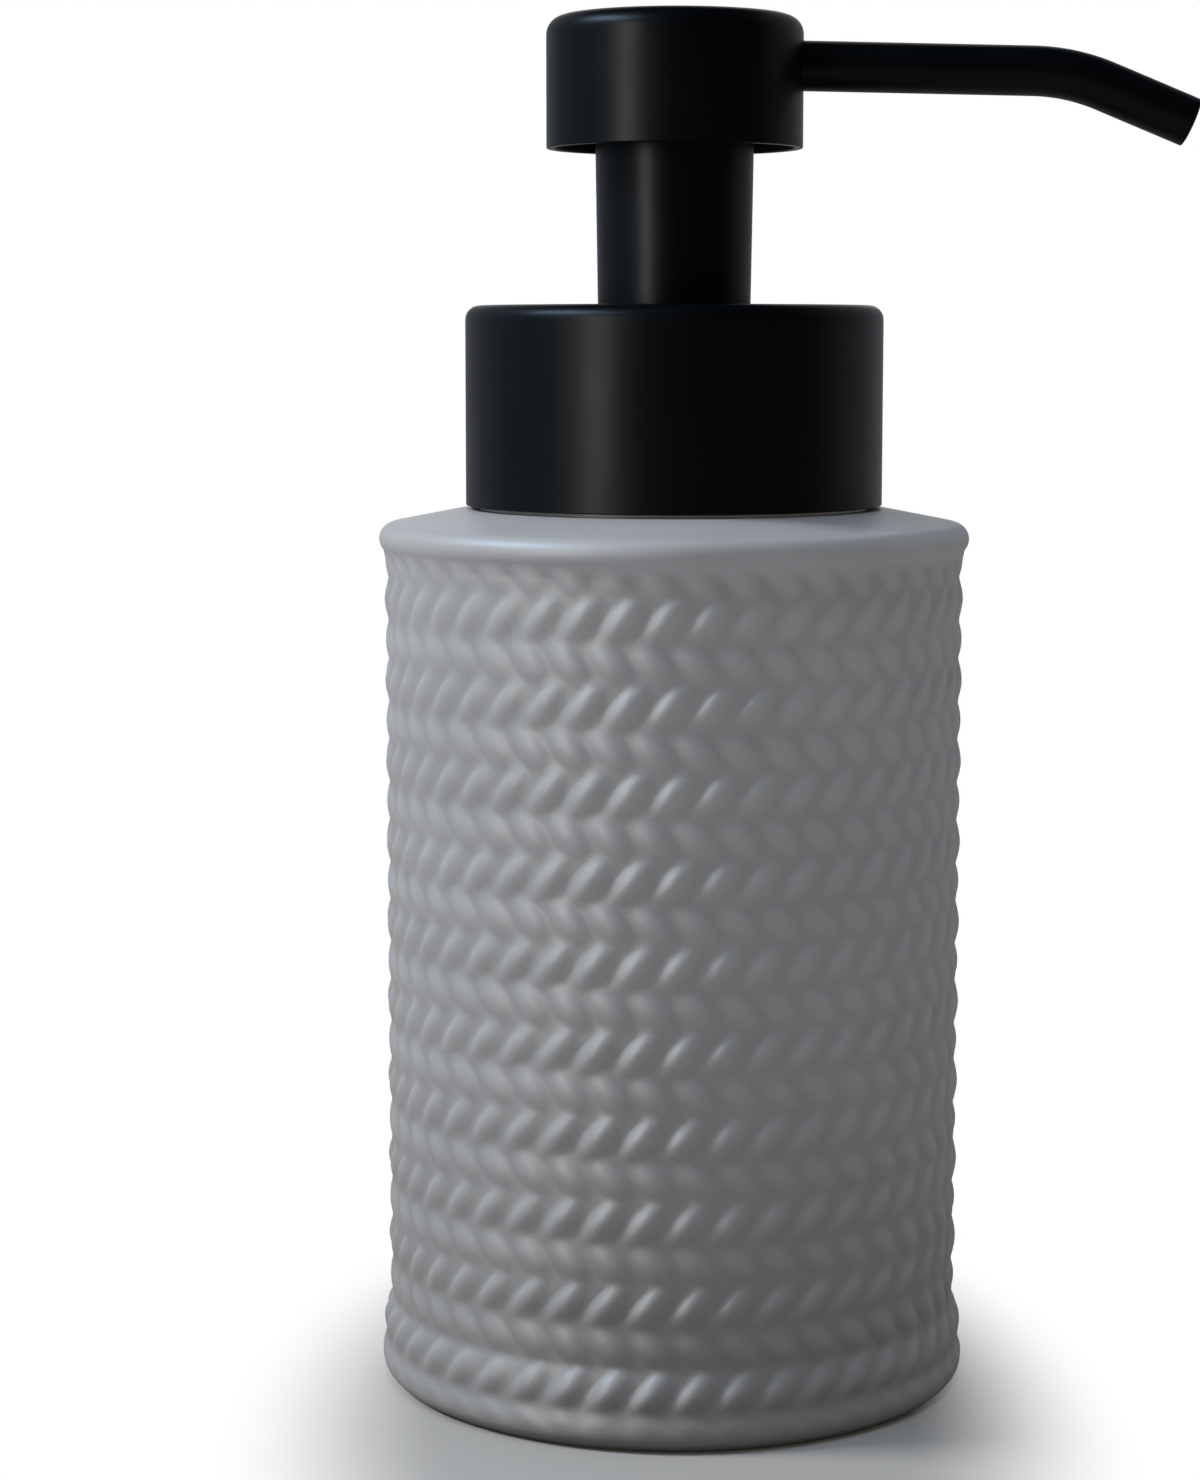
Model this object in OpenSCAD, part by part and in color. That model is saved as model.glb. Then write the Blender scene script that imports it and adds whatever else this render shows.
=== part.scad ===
// Foaming soap dispenser: a knit-pattern ceramic bottle with a black screw-on pump.
// The axis of the bottle is Z, the resting plane is Z = 0, and the spout points along +X.

/* [Ceramic bottle] */
// Diameter of the body over the crests of the knit rows
body_d = 73.9; // [66:0.1:82]
// Height of the body from the resting plane to the lip
body_h = 108.28; // [96:0.1:120]
// Number of knit rows between the foot and the lip
knit_rows = 19; // [15:1:23]
// Depth of the valleys between the rows
knit_relief = 0.4; // [0.2:0.05:0.8]
// Height of the smooth foot band
foot_h = 9.86; // [8:0.1:14]
// Diameter of the foot band at its fullest
foot_d = 75.8; // [75:0.1:84]
// Height at which the foot band is fullest
foot_belly_z = 4.3; // [3.6:0.1:5]
// Rounding of the foot's lower edge
foot_round = 2.2; // [1:0.1:2.6]
// Diameter of the rounded lip between body and shoulder
lip_d = 75; // [74.2:0.1:84]
// Radius of the rounded lip
lip_round = 2; // [1.2:0.1:2.6]
// Slope of the shoulder, in degrees
shoulder_slope = 11; // [6:0.5:16]
// Thickness of the ceramic side wall
bottle_wall = 4; // [3:0.1:5]
// Thickness of the ceramic floor
bottle_floor = 5; // [4:0.1:7]
// Thickness of the ceramic shoulder at the mouth
shoulder_t = 5; // [4:0.1:6]
// Depth of the recess inside the foot ring
base_recess = 1.2; // [0.6:0.1:2]
// Width of the flat foot ring that the bottle rests on
foot_ring_w = 4; // [3:0.1:6]

/* [Threaded neck] */
// Diameter over the neck thread
thread_d = 39.5; // [37:0.1:42]
// Depth of the neck thread
thread_depth = 1.05; // [0.9:0.05:1.2]
// Rise of the thread in one turn
thread_pitch = 4; // [3.6:0.1:4.4]
// Wall of the neck under its thread
neck_wall = 1.1; // [0.9:0.05:1.4]
// Height of the neck above the shoulder
neck_h = 11.5; // [11:0.1:13]
// Thickness of the neck ring's flange
neck_flange_t = 1.6; // [1.2:0.1:2]
// Thickness of the sealing washer
gasket_t = 1.2; // [0.8:0.1:1.6]

/* [Collar] */
// Outer diameter of the metal collar
collar_d = 52.9; // [51:0.1:58]
// Height of the metal collar
collar_h = 25.15; // [24:0.1:29]
// Wall of the metal collar
collar_wall = 0.7; // [0.5:0.05:0.9]
// Radius of the collar's rounded top edge
collar_round = 1.8; // [1.2:0.1:2.6]
// Gap between the collar and the shoulder
collar_gap = 0.45; // [0.3:0.05:0.7]
// Wall of the screw closure
closure_wall = 1.7; // [1.4:0.05:2]

/* [Pump] */
// Travel of the head when it is pressed
stroke = 15; // [12:0.5:17]
// Wall of the air cylinder
cylinder_wall = 1.4; // [1:0.05:1.8]
// Height of the air piston
air_piston_h = 10.8; // [9:0.1:12]
// Bore of the liquid cylinder
liquid_bore_d = 8.8; // [8:0.1:9.6]
// Wall of the liquid cylinder
liquid_wall = 1.8; // [1.4:0.1:2.2]
// Diameter of the inlet valve's ball
inlet_ball_d = 4.4; // [4:0.1:5]
// Diameter of the outlet valve's ball
outlet_ball_d = 5.2; // [4.6:0.1:5.6]
// Lift of the valve balls
ball_lift = 1; // [0.6:0.1:1.4]
// Wire diameter of the return spring
spring_wire_d = 0.8; // [0.6:0.05:0.9]
// Number of turns of the return spring
spring_turns = 7; // [5:1:8]
// Outer diameter of the dip tube
dip_tube_d = 6; // [5:0.1:6.6]
// Wall of the dip tube
dip_tube_wall = 0.9; // [0.6:0.05:1.1]
// Gap between the dip tube and the bottle's floor
dip_tube_gap = 2.5; // [1.5:0.1:5]

/* [Head and spout] */
// Outer diameter of the head
head_d = 32.3; // [31:0.1:38]
// Height of the head
head_h = 16.35; // [15.8:0.05:20]
// Wall of the head's metal shell
head_wall = 1; // [0.7:0.05:1.2]
// Radius of the head's rounded top edge
head_round = 2.3; // [1.6:0.1:3]
// Gap between the collar and the head at rest
head_gap = 19.55; // [19:0.05:24]
// Diameter of the sleeve where it leaves the collar
sleeve_d = 19.33; // [18.6:0.05:21]
// Draft of the sleeve, in degrees: it widens upwards
sleeve_draft = 0.9; // [0:0.1:1.2]
// Wall of the sleeve at its lower end
sleeve_wall = 0.85; // [0.6:0.05:1]
// Outer diameter of the spout tube
spout_d = 6.25; // [5.4:0.05:6.6]
// Wall of the spout tube
spout_wall = 0.5; // [0.4:0.05:0.7]
// Depth of the spout's centre line below the top of the head
spout_drop = 6.1; // [5.9:0.05:6.6]
// Slope of the spout's long straight part, in degrees
spout_slope = 1.2; // [0:0.1:2]
// Distance from the head's axis to the start of the bend
spout_bend_x = 45; // [38:0.5:54]
// Centre-line radius of the bend
spout_bend_r = 25; // [18:0.5:32]
// Slope of the spout's outlet, in degrees
outlet_slope = 22.5; // [15:0.5:40]
// Length of the straight outlet after the bend
outlet_len = 11.75; // [8:0.25:16]

/* [Fits] */
// Radial clearance of the sliding and turning fits
running_gap = 0.06; // [0.03:0.01:0.08]
// Gap between pieces that are glued or snapped together
joint_gap = 0.15; // [0.1:0.01:0.2]
// Clearance round pieces that move past each other
free_gap = 0.35; // [0.3:0.01:0.5]

/* [Hidden] */
$fn = 96;

// Cuts run this far past the faces that they go through
past = 1;
// Threads and ribs are sunk this far into the wall that carries them
sink = 0.3;

// Bottle, from the foot up
crest_r = body_d / 2;
valley_r = crest_r - knit_relief;
row_pitch = (body_h - foot_h) / knit_rows;
row_bulge_r = (pow(row_pitch / 2, 2) + pow(knit_relief, 2)) / (2 * knit_relief);
foot_r = foot_d / 2;
foot_swell = foot_r - valley_r;
foot_bulge_r = (pow(foot_h - foot_belly_z, 2) + pow(foot_swell, 2)) / (2 * foot_swell);
foot_edge_reach = foot_bulge_r - foot_round;
foot_edge_rise = foot_belly_z - foot_round;
foot_edge_r = foot_r - foot_bulge_r + sqrt(pow(foot_edge_reach, 2) - pow(foot_edge_rise, 2));
lip_r = lip_d / 2;
lip_tangent_r = lip_r - lip_round * (1 - sin(shoulder_slope));
lip_tangent_z = body_h + lip_round * cos(shoulder_slope);
collar_r = collar_d / 2;
seat_r = collar_r + collar_gap;
seat_z = lip_tangent_z + (lip_tangent_r - seat_r) * tan(shoulder_slope);
floor_z = base_recess + bottle_floor;
cavity_r = valley_r - bottle_wall;
cavity_top_z = seat_z - shoulder_t;
cavity_round = 6;

// Neck ring and washer
thread_r = thread_d / 2;
neck_r = thread_r - thread_depth;
neck_bore_r = neck_r - neck_wall;
spigot_wall = 3;
spigot_r = neck_bore_r + spigot_wall;
mouth_r = spigot_r + joint_gap;
neck_top_z = seat_z + neck_h;
thread_base_w = 1.9;
thread_crest_w = 0.9;
thread_turns = 1.1;
thread_up = 2.6;
thread_start_z = seat_z + neck_flange_t + thread_up;
gasket_top_z = neck_top_z + gasket_t;

// Collar shell and screw closure
collar_z = seat_z + collar_gap;
collar_top_z = collar_z + collar_h;
collar_bore_r = collar_r - collar_wall;
closure_r = collar_bore_r - joint_gap;
closure_bore_r = thread_r + free_gap;
closure_z = seat_z + neck_flange_t + 2 * free_gap;
closure_top_z = collar_top_z - collar_wall - joint_gap;
closure_round = collar_round - collar_wall - joint_gap;
closure_ribs = 18;
closure_rib_w = 1.2;
closure_rib_up = 0.6;

// Air cylinder, from its flange down
flange_t = 1.5;
flange_r = neck_r + sink;
gasket_r = neck_r;
flange_top_z = gasket_top_z + flange_t;
cylinder_r = neck_bore_r - 2 * free_gap;
air_bore_r = cylinder_r - cylinder_wall;
guide_depth = 3.7;
guide_rise = 3.8;
guide_wall = 1.3;
guide_z = flange_top_z - guide_depth;
guide_top_z = flange_top_z + guide_rise;
air_piston_top_z = guide_z - 0.2;
air_piston_z = air_piston_top_z - air_piston_h;
piston_hub_wall = 1.8;
piston_lip_w = 1.3;
piston_lip_h = 1.2;
piston_web_up = 4.5;
piston_web_t = 1.5;
piston_web_z = air_piston_z + piston_web_up;
piston_skirt_up = 1;
piston_ports = 6;
piston_port_r = 0.8;
air_valve_t = 0.7;
air_valve_w = 4.2;
air_floor_t = 1.5;
air_floor_z = air_piston_z - stroke - 1;

// Liquid cylinder, spring and inlet valve, downwards
liquid_r = liquid_bore_d / 2;
liquid_piston_h = 5.5;
liquid_lip_h = 1.6;
liquid_waist = 0.3;
liquid_piston_top_z = air_floor_z - 0.7;
liquid_piston_z = liquid_piston_top_z - liquid_piston_h;
spring_wire_r = spring_wire_d / 2;
spring_r = liquid_r - 0.6 - spring_wire_r;
spring_rest_room = 1.2;
spring_ledge_z = liquid_piston_z - stroke - spring_turns * spring_wire_d - spring_rest_room;
inlet_ball_r = inlet_ball_d / 2;
inlet_chamber_r = inlet_ball_r + 0.5;
inlet_seat_r = 0.72 * inlet_ball_r;
seat_gap = 0.1;
inlet_rise = sqrt(pow(inlet_ball_r, 2) - pow(inlet_seat_r, 2)) + seat_gap;
stop_t = 0.8;
inlet_chamber_h = inlet_rise + inlet_ball_r + ball_lift + seat_gap;
inlet_seat_z = spring_ledge_z - stop_t - inlet_chamber_h;
seat_t = 1.5;
dip_tube_r = dip_tube_d / 2;
socket_wall = 1.6;
socket_h = 10;
socket_top_z = inlet_seat_z - seat_t;
socket_r = dip_tube_r + joint_gap / 3;
dip_tube_z = floor_z + dip_tube_gap;

// Sleeve: its radius follows the draft
function sleeve_r(z) = sleeve_d / 2 + (z - collar_top_z) * tan(sleeve_draft);
head_z = collar_top_z + head_gap;
head_top_z = head_z + head_h;
sleeve_z = guide_z - 0.5;
spout_z = head_top_z - spout_drop;
spout_r = spout_d / 2;
boss_r = spout_r + 1.2;
sleeve_top_z = spout_z - boss_r - 0.5;
sleeve_bore_r = sleeve_r(sleeve_z) - sleeve_wall;
guide_bore_r = sleeve_r(guide_top_z + stroke) + free_gap;
collar_hole_r = sleeve_r(collar_top_z + stroke) + free_gap;

// Stem with its mixing cup, under the head's core
core_wall = 1.3;
core_r = sleeve_bore_r - joint_gap;
core_bore_r = core_r - core_wall;
cup_r = core_bore_r - running_gap;
cup_wall = 1.4;
cup_bore_r = cup_r - cup_wall;
stem_r = liquid_r - 0.8;
stem_bore_r = stem_r - 1.3;
stem_z = liquid_piston_z + seat_t;
outlet_ball_r = outlet_ball_d / 2;
outlet_chamber_r = outlet_ball_r + 0.5;
outlet_seat_r = 0.72 * outlet_ball_r;
outlet_rise = sqrt(pow(outlet_ball_r, 2) - pow(outlet_seat_r, 2)) + seat_gap;
cup_z = flange_top_z - seat_t;
outlet_seat_z = cup_z + seat_t;
mesh_holder_z = outlet_seat_z + outlet_rise + outlet_ball_r + ball_lift + seat_gap;
mesh_holder_h = 10;
mesh_holder_r = cup_bore_r - joint_gap / 2;
mesh_holder_wall = 0.8;
mesh_holder_bore_r = mesh_holder_r - mesh_holder_wall;
mesh_bar_w = 0.8;
mesh_bar_h = 1;
mesh_t = 0.3;
cup_lip_h = 1.2;
cup_top_z = mesh_holder_z + mesh_holder_h + cup_lip_h;
cup_headroom = 0.6;
core_z = cup_z + 0.5;
bead_up = 2.2;
bead_z = cup_z + bead_up;
bead_h = 1.2;
bead_out = 0.4;
bead_gap = 0.4;
air_port_r = 0.7;
channel_r = spout_r - spout_wall + 0.4;

// Head shell and spout
head_r = head_d / 2;
head_bore_r = head_r - head_wall;
head_plate_round = head_round - head_wall - joint_gap;
head_plate_edge = 0.6;
head_plate_t = head_plate_round + head_plate_edge;
core_ribs = 6;
core_rib_w = 1.2;
core_rib_in = 0.4;
head_plate_z = head_top_z - head_wall - joint_gap - head_plate_t;
spout_bore_r = spout_r - spout_wall;
spout_start = channel_r + 1;
straight_len = (spout_bend_x - head_r) / cos(spout_slope);
bend_angle = outlet_slope - spout_slope;

// ---- Shapes that repeat ----

// Closed solid through a list of rings, each one a list of points in the same order
module skin(rings) {
    sides = len(rings[0]);
    last = len(rings) - 1;
    walls = [for (i = [0:last - 1]) for (j = [0:sides - 1])
        [i * sides + j, i * sides + (j + 1) % sides,
         (i + 1) * sides + (j + 1) % sides, (i + 1) * sides + j]];
    caps = [[for (j = [sides - 1:-1:0]) j], [for (j = [0:sides - 1]) last * sides + j]];
    polyhedron([for (ring = rings) for (p = ring) p], concat(walls, caps));
}

// Ring between two radii
module tube(r, bore, z, h) {
    translate([0, 0, z]) difference() {
        cylinder(r = r, h = h);
        translate([0, 0, -past]) cylinder(r = bore, h = h + 2 * past);
    }
}

// Round hole along Z
module bore(r, z, h) {
    translate([0, 0, z]) cylinder(r = r, h = h);
}

// Half section of a drum with a rounded top edge
module drum_section(r, z, top_z, round_r) {
    translate([0, z]) square([r, top_z - round_r - z]);
    translate([0, z]) square([r - round_r, top_z - z]);
    translate([r - round_r, top_z - round_r]) circle(r = round_r);
}

// Half plane of a section, right of the axis
module right_half(z, h, r) {
    translate([0, z]) square([r, h]);
}

// Right-handed helical ridge on a wall at from_r, with its crest at to_r
module thread_ridge(from_r, to_r, z, turns) {
    steps = ceil(turns * 40);
    fade = 5;
    rings = [for (i = [0:steps])
        let (a = 360 * turns * i / steps,
             grow = min(1, min(i, steps - i) / fade + 0.15),
             c = z + thread_pitch * a / 360,
             tip = from_r + (to_r - from_r) * grow,
             base = from_r + (to_r > from_r ? -sink : sink),
             b = thread_base_w / 2,
             t = thread_crest_w / 2,
             section = [[base, c - b], [tip, c - t], [tip, c + t], [base, c + b]],
             turned = to_r > from_r ? section : [section[3], section[2], section[1], section[0]])
        [for (p = turned) [p[0] * cos(a), p[0] * sin(a), p[1]]]];
    skin(rings);
}

// ---- Bottle and neck ----

module row_section(z) {
    intersection() {
        translate([crest_r - row_bulge_r, z + row_pitch / 2]) circle(r = row_bulge_r);
        right_half(z, row_pitch, crest_r + past);
    }
}

module foot_section() {
    intersection() {
        translate([foot_r - foot_bulge_r, foot_belly_z]) circle(r = foot_bulge_r);
        right_half(foot_round * 0.78, foot_h - foot_round * 0.78, foot_r + past);
    }
    translate([foot_edge_r, foot_round]) circle(r = foot_round);
    square([foot_edge_r, foot_h]);
}

module shoulder_section() {
    translate([lip_r - lip_round, body_h]) circle(r = lip_round);
    polygon([[0, body_h - lip_round], [lip_r - lip_round, body_h - lip_round],
        [lip_tangent_r, lip_tangent_z], [seat_r, seat_z], [0, seat_z]]);
}

module cavity_section() {
    flat_r = cavity_r - cavity_round;
    right_half(floor_z, cavity_top_z - floor_z, flat_r);
    right_half(floor_z + cavity_round, cavity_top_z - floor_z - 2 * cavity_round, cavity_r);
    translate([flat_r, floor_z + cavity_round]) circle(r = cavity_round);
    translate([flat_r, cavity_top_z - cavity_round]) circle(r = cavity_round);
    right_half(floor_z, seat_z + past - floor_z, mouth_r);
}

module bottle() {
    color("#8c8c8f") rotate_extrude() difference() {
        union() {
            foot_section();
            right_half(foot_h - past, body_h - foot_h + past, valley_r);
            for (row = [0:knit_rows - 1]) row_section(foot_h + row * row_pitch);
            shoulder_section();
        }
        cavity_section();
        translate([0, -past]) square([foot_edge_r - foot_ring_w, base_recess + past]);
    }
}

module neck_ring() {
    color("#d9d9d6") {
        difference() {
            union() {
                bore(spigot_r, seat_z - shoulder_t - 0.5, shoulder_t + 0.5);
                bore(collar_bore_r - 1.1, seat_z, neck_flange_t);
                bore(neck_r, seat_z, neck_h);
                thread_ridge(neck_r, thread_r, thread_start_z, thread_turns);
            }
            bore(neck_bore_r, seat_z - shoulder_t - past, shoulder_t + neck_h + 2 * past);
        }
    }
}

module neck_gasket() {
    color("#f2f2ee") tube(gasket_r, cylinder_r + free_gap, neck_top_z, gasket_t);
}

// ---- Collar ----

module closure() {
    ceiling_z = flange_top_z + seat_gap;
    skirt_bore_r = closure_r - closure_wall;
    barrel_r = closure_bore_r + closure_wall;
    color("#e6e6e2") {
        rotate_extrude() difference() {
            drum_section(closure_r, closure_z, closure_top_z, closure_round);
            right_half(closure_z - past, closure_top_z - closure_z + 2 * past, skirt_bore_r);
        }
        difference() {
            union() {
                bore(barrel_r, closure_z, ceiling_z - closure_z);
                bore(skirt_bore_r + sink, ceiling_z, closure_wall);
                for (i = [0:closure_ribs - 1]) rotate([0, 0, 360 * i / closure_ribs])
                    translate([closure_bore_r + sink, -closure_rib_w / 2, closure_z + closure_rib_up])
                        cube([closure_r - closure_bore_r - 2 * sink, closure_rib_w,
                            ceiling_z - closure_z]);
            }
            bore(closure_bore_r, closure_z - past, ceiling_z - closure_z + past);
            bore(cylinder_r + free_gap, ceiling_z - past, closure_wall + 2 * past);
        }
        thread_ridge(closure_bore_r, neck_r + free_gap, thread_start_z + thread_pitch / 2,
            thread_turns);
    }
}

module collar_shell() {
    color("#161617") rotate_extrude() difference() {
        drum_section(collar_r, collar_z, collar_top_z, collar_round);
        drum_section(collar_bore_r, collar_z - past, collar_top_z - collar_wall,
            collar_round - collar_wall);
        right_half(collar_z - past, collar_h + 2 * past, collar_hole_r);
    }
}

// ---- Pump cylinder ----

module pump_cylinder() {
    air_base_z = air_floor_z - air_floor_t;
    liquid_outer_r = liquid_r + liquid_wall;
    color("#f4f4f0") difference() {
        union() {
            bore(flange_r, gasket_top_z, flange_t);
            bore(cylinder_r, air_base_z, flange_top_z - air_base_z);
            bore(liquid_outer_r, socket_top_z, air_base_z - socket_top_z + past);
            bore(socket_r + socket_wall, socket_top_z - socket_h, socket_h + past);
        }
        bore(air_bore_r, air_floor_z, flange_top_z - air_floor_z + past);
        bore(liquid_r, spring_ledge_z, air_floor_z - spring_ledge_z + past);
        bore(inlet_chamber_r, inlet_seat_z, inlet_chamber_h);
        bore(inlet_seat_r, socket_top_z - past, spring_ledge_z - socket_top_z + 2 * past);
        bore(socket_r, socket_top_z - socket_h - past, socket_h + past);
    }
}

module guide_ring() {
    trough_z = guide_z + guide_wall;
    color("#f4f4f0") difference() {
        union() {
            bore(air_bore_r - joint_gap, guide_z, guide_depth + sink);
            bore(cylinder_r, flange_top_z, guide_rise);
        }
        bore(guide_bore_r, guide_z - past, guide_depth + guide_rise + 2 * past);
        tube(air_bore_r - joint_gap - guide_wall, guide_bore_r + guide_wall, trough_z,
            guide_top_z - trough_z + past);
    }
}

module dip_tube() {
    color("#f7f7f4") difference() {
        tube(dip_tube_r, dip_tube_r - dip_tube_wall, dip_tube_z,
            socket_top_z - joint_gap - dip_tube_z);
        translate([-dip_tube_r, -dip_tube_d, dip_tube_z]) rotate([0, -35, 0])
            translate([0, 0, -dip_tube_d]) cube([2 * dip_tube_d, 2 * dip_tube_d, dip_tube_d]);
    }
}

module inlet_ball() {
    color("#b9c4c6") translate([0, 0, inlet_seat_z + inlet_rise]) sphere(r = inlet_ball_r);
}

module return_spring() {
    sides = 6;
    per_turn = 16;
    steps = spring_turns * per_turn;
    low = spring_ledge_z + spring_wire_r + 0.02;
    high = liquid_piston_z - spring_wire_r - 0.02;
    color("#a9abae") skin([for (i = [0:steps])
        let (a = 360 * i / per_turn,
             open = min(1, max(0, (i - per_turn) / (steps - 2 * per_turn))),
             flat = min(1, i / per_turn, (steps - i) / per_turn) * spring_wire_d,
             z = i <= per_turn ? low + spring_wire_d * i / per_turn
               : i >= steps - per_turn ? high - spring_wire_d * (steps - i) / per_turn
               : low + spring_wire_d + (high - low - 2 * spring_wire_d) * open)
        [for (j = [0:sides - 1])
            let (b = 360 * j / sides, r = spring_r + spring_wire_r * cos(b))
            [r * cos(a), r * sin(a), z + spring_wire_r * sin(b)]]]);
}

// ---- Plunger ----

module liquid_piston() {
    piston_r = liquid_r - running_gap;
    color("#dfe5e6") difference() {
        bore(piston_r, liquid_piston_z, liquid_piston_h);
        bore(stem_bore_r, liquid_piston_z - past, liquid_piston_h);
        bore(stem_r, stem_z, liquid_piston_h);
        tube(piston_r + past, piston_r - liquid_waist, liquid_piston_z + liquid_lip_h,
            liquid_piston_h - 2 * liquid_lip_h);
    }
}

module valve_stem() {
    color("#eef0ee") difference() {
        union() {
            bore(stem_r, stem_z, cup_z - stem_z + past);
            bore(cup_r, cup_z, cup_top_z - cup_z);
            bore(cup_r + bead_out, bead_z, bead_h);
        }
        bore(stem_bore_r, stem_z - past, cup_z - stem_z + past);
        bore(outlet_seat_r, cup_z - past, seat_t + 2 * past);
        bore(outlet_chamber_r, outlet_seat_z, mesh_holder_z - outlet_seat_z + past);
        bore(cup_bore_r, mesh_holder_z, cup_top_z - mesh_holder_z + past);
        for (a = [45:90:315]) rotate([0, 0, a]) translate([0, 0, cup_z - 2 * air_port_r])
            rotate([0, 90, 0]) cylinder(r = air_port_r, h = stem_r + past);
    }
}

module air_piston() {
    hub_r = stem_r + piston_hub_wall;
    lip_r = air_bore_r - running_gap;
    lip_bore_r = lip_r - piston_lip_w;
    skirt_z = air_piston_z + piston_skirt_up;
    color("#e9ebe8") difference() {
        union() {
            bore(hub_r, air_piston_z, air_piston_h - piston_lip_h);
            bore(lip_bore_r + sink, piston_web_z, piston_web_t);
            tube(lip_r - liquid_waist, lip_bore_r, skirt_z, air_piston_top_z - skirt_z);
            tube(lip_r, lip_bore_r, skirt_z, piston_lip_h);
            tube(lip_r, lip_bore_r, air_piston_top_z - piston_lip_h, piston_lip_h);
        }
        bore(stem_r + joint_gap / 3, air_piston_z - past, air_piston_h + 2 * past);
        for (i = [0:piston_ports - 1]) rotate([0, 0, 360 * i / piston_ports])
            translate([hub_r + air_valve_w / 2, 0, 0])
                bore(piston_port_r, piston_web_z - past, piston_web_t + 2 * past);
    }
}

module air_valve() {
    hub_r = stem_r + piston_hub_wall;
    color("#c9cdd0") tube(hub_r + air_valve_w, hub_r + joint_gap / 3,
        piston_web_z - air_valve_t, air_valve_t);
}

module outlet_ball() {
    color("#b9c4c6") translate([0, 0, outlet_seat_z + outlet_rise]) sphere(r = outlet_ball_r);
}

module mesh_holder() {
    color("#f0f1ee") {
        tube(mesh_holder_r, mesh_holder_bore_r, mesh_holder_z, mesh_holder_h);
        for (a = [0, 90]) rotate([0, 0, a])
            translate([-mesh_holder_bore_r - sink, -mesh_bar_w / 2, mesh_holder_z])
                cube([2 * (mesh_holder_bore_r + sink), mesh_bar_w, mesh_bar_h]);
    }
}

module mesh_screens() {
    cell = 1.4;
    hole = 0.9;
    screen_r = mesh_holder_bore_r - joint_gap / 2;
    reach = ceil(screen_r / cell);
    low_z = mesh_holder_z + mesh_bar_h + seat_gap;
    high_z = mesh_holder_z + mesh_holder_h - mesh_t - seat_gap;
    color("#d5d8da") for (z = [low_z, high_z])
        translate([0, 0, z]) linear_extrude(height = mesh_t) difference() {
            circle(r = screen_r);
            for (i = [-reach:reach]) for (j = [-reach:reach])
                if (norm([i, j]) * cell + hole * 0.75 < screen_r - sink)
                    translate([i * cell, j * cell]) square(hole, center = true);
        }
}

// ---- Head ----

// Places its children on the spout's line where it leaves the head, with Z along the spout
module at_spout() {
    translate([head_r, 0, spout_z]) rotate([0, 90 + spout_slope, 0]) children();
}

module head_core() {
    plate_r = head_bore_r - joint_gap;
    rib_z = spout_z - 1;
    color("#2a2a2b") difference() {
        union() {
            bore(core_r, core_z, head_plate_z - core_z + past);
            rotate_extrude() drum_section(plate_r, head_plate_z, head_plate_z + head_plate_t,
                head_plate_round);
            for (i = [0:core_ribs - 1]) rotate([0, 0, 360 * (i + 0.5) / core_ribs])
                translate([core_r - sink, -core_rib_w / 2, rib_z])
                    cube([plate_r - core_rib_in - core_r + sink, core_rib_w,
                        head_plate_z - rib_z + sink]);
            at_spout() translate([0, 0, -head_r]) cylinder(r = boss_r, h = head_bore_r - 1.2);
        }
        bore(core_bore_r, core_z - past, cup_top_z + cup_headroom - core_z + past);
        bore(cup_r + bead_out + free_gap, bead_z - bead_gap, bead_h + 2 * bead_gap);
        bore(channel_r, cup_top_z, spout_z + spout_bore_r - cup_top_z);
        at_spout() translate([0, 0, -head_r]) cylinder(r = spout_bore_r, h = head_r);
        at_spout() translate([0, 0, spout_start - head_r - joint_gap])
            cylinder(r = spout_r + joint_gap / 3, h = head_r);
    }
}

module sleeve() {
    color("#1a1a1b") difference() {
        translate([0, 0, sleeve_z]) cylinder(r1 = sleeve_r(sleeve_z), r2 = sleeve_r(sleeve_top_z),
            h = sleeve_top_z - sleeve_z);
        bore(sleeve_bore_r, sleeve_z - past, sleeve_top_z - sleeve_z + 2 * past);
    }
}

module head_shell() {
    color("#161617") difference() {
        rotate_extrude() difference() {
            drum_section(head_r, head_z, head_top_z, head_round);
            drum_section(head_bore_r, head_z - past, head_top_z - head_wall,
                head_round - head_wall);
        }
        at_spout() translate([0, 0, -3 * head_wall])
            cylinder(r = spout_r + joint_gap / 3, h = 6 * head_wall);
    }
}

// A straight length of the spout's tube, from the local plane z
module spout_pipe(z, h, open_start, open_end) {
    translate([0, 0, z]) difference() {
        cylinder(r = spout_r, h = h);
        translate([0, 0, -open_start]) cylinder(r = spout_bore_r, h = h + open_start + open_end);
    }
}

module spout_tube() {
    start = spout_start - head_r;
    color("#161617") at_spout() {
        spout_pipe(start, straight_len - start, past, past);
        translate([spout_bend_r, 0, straight_len]) {
            rotate([-90, 0, 0]) rotate([0, 0, 180]) rotate_extrude(angle = bend_angle)
                translate([spout_bend_r, 0]) difference() {
                    circle(r = spout_r);
                    circle(r = spout_bore_r);
                }
            rotate([0, bend_angle, 0]) translate([-spout_bend_r, 0, 0])
                spout_pipe(0, outlet_len, past, past);
        }
    }
}

bottle();
neck_ring();
neck_gasket();
closure();
collar_shell();
pump_cylinder();
guide_ring();
dip_tube();
inlet_ball();
return_spring();
liquid_piston();
valve_stem();
air_piston();
air_valve();
outlet_ball();
mesh_holder();
mesh_screens();
head_core();
sleeve();
head_shell();
spout_tube();
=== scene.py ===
"""Dresses a soap pump dispenser: a knit-relief ceramic bottle under a satin black pump head."""

import math

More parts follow.
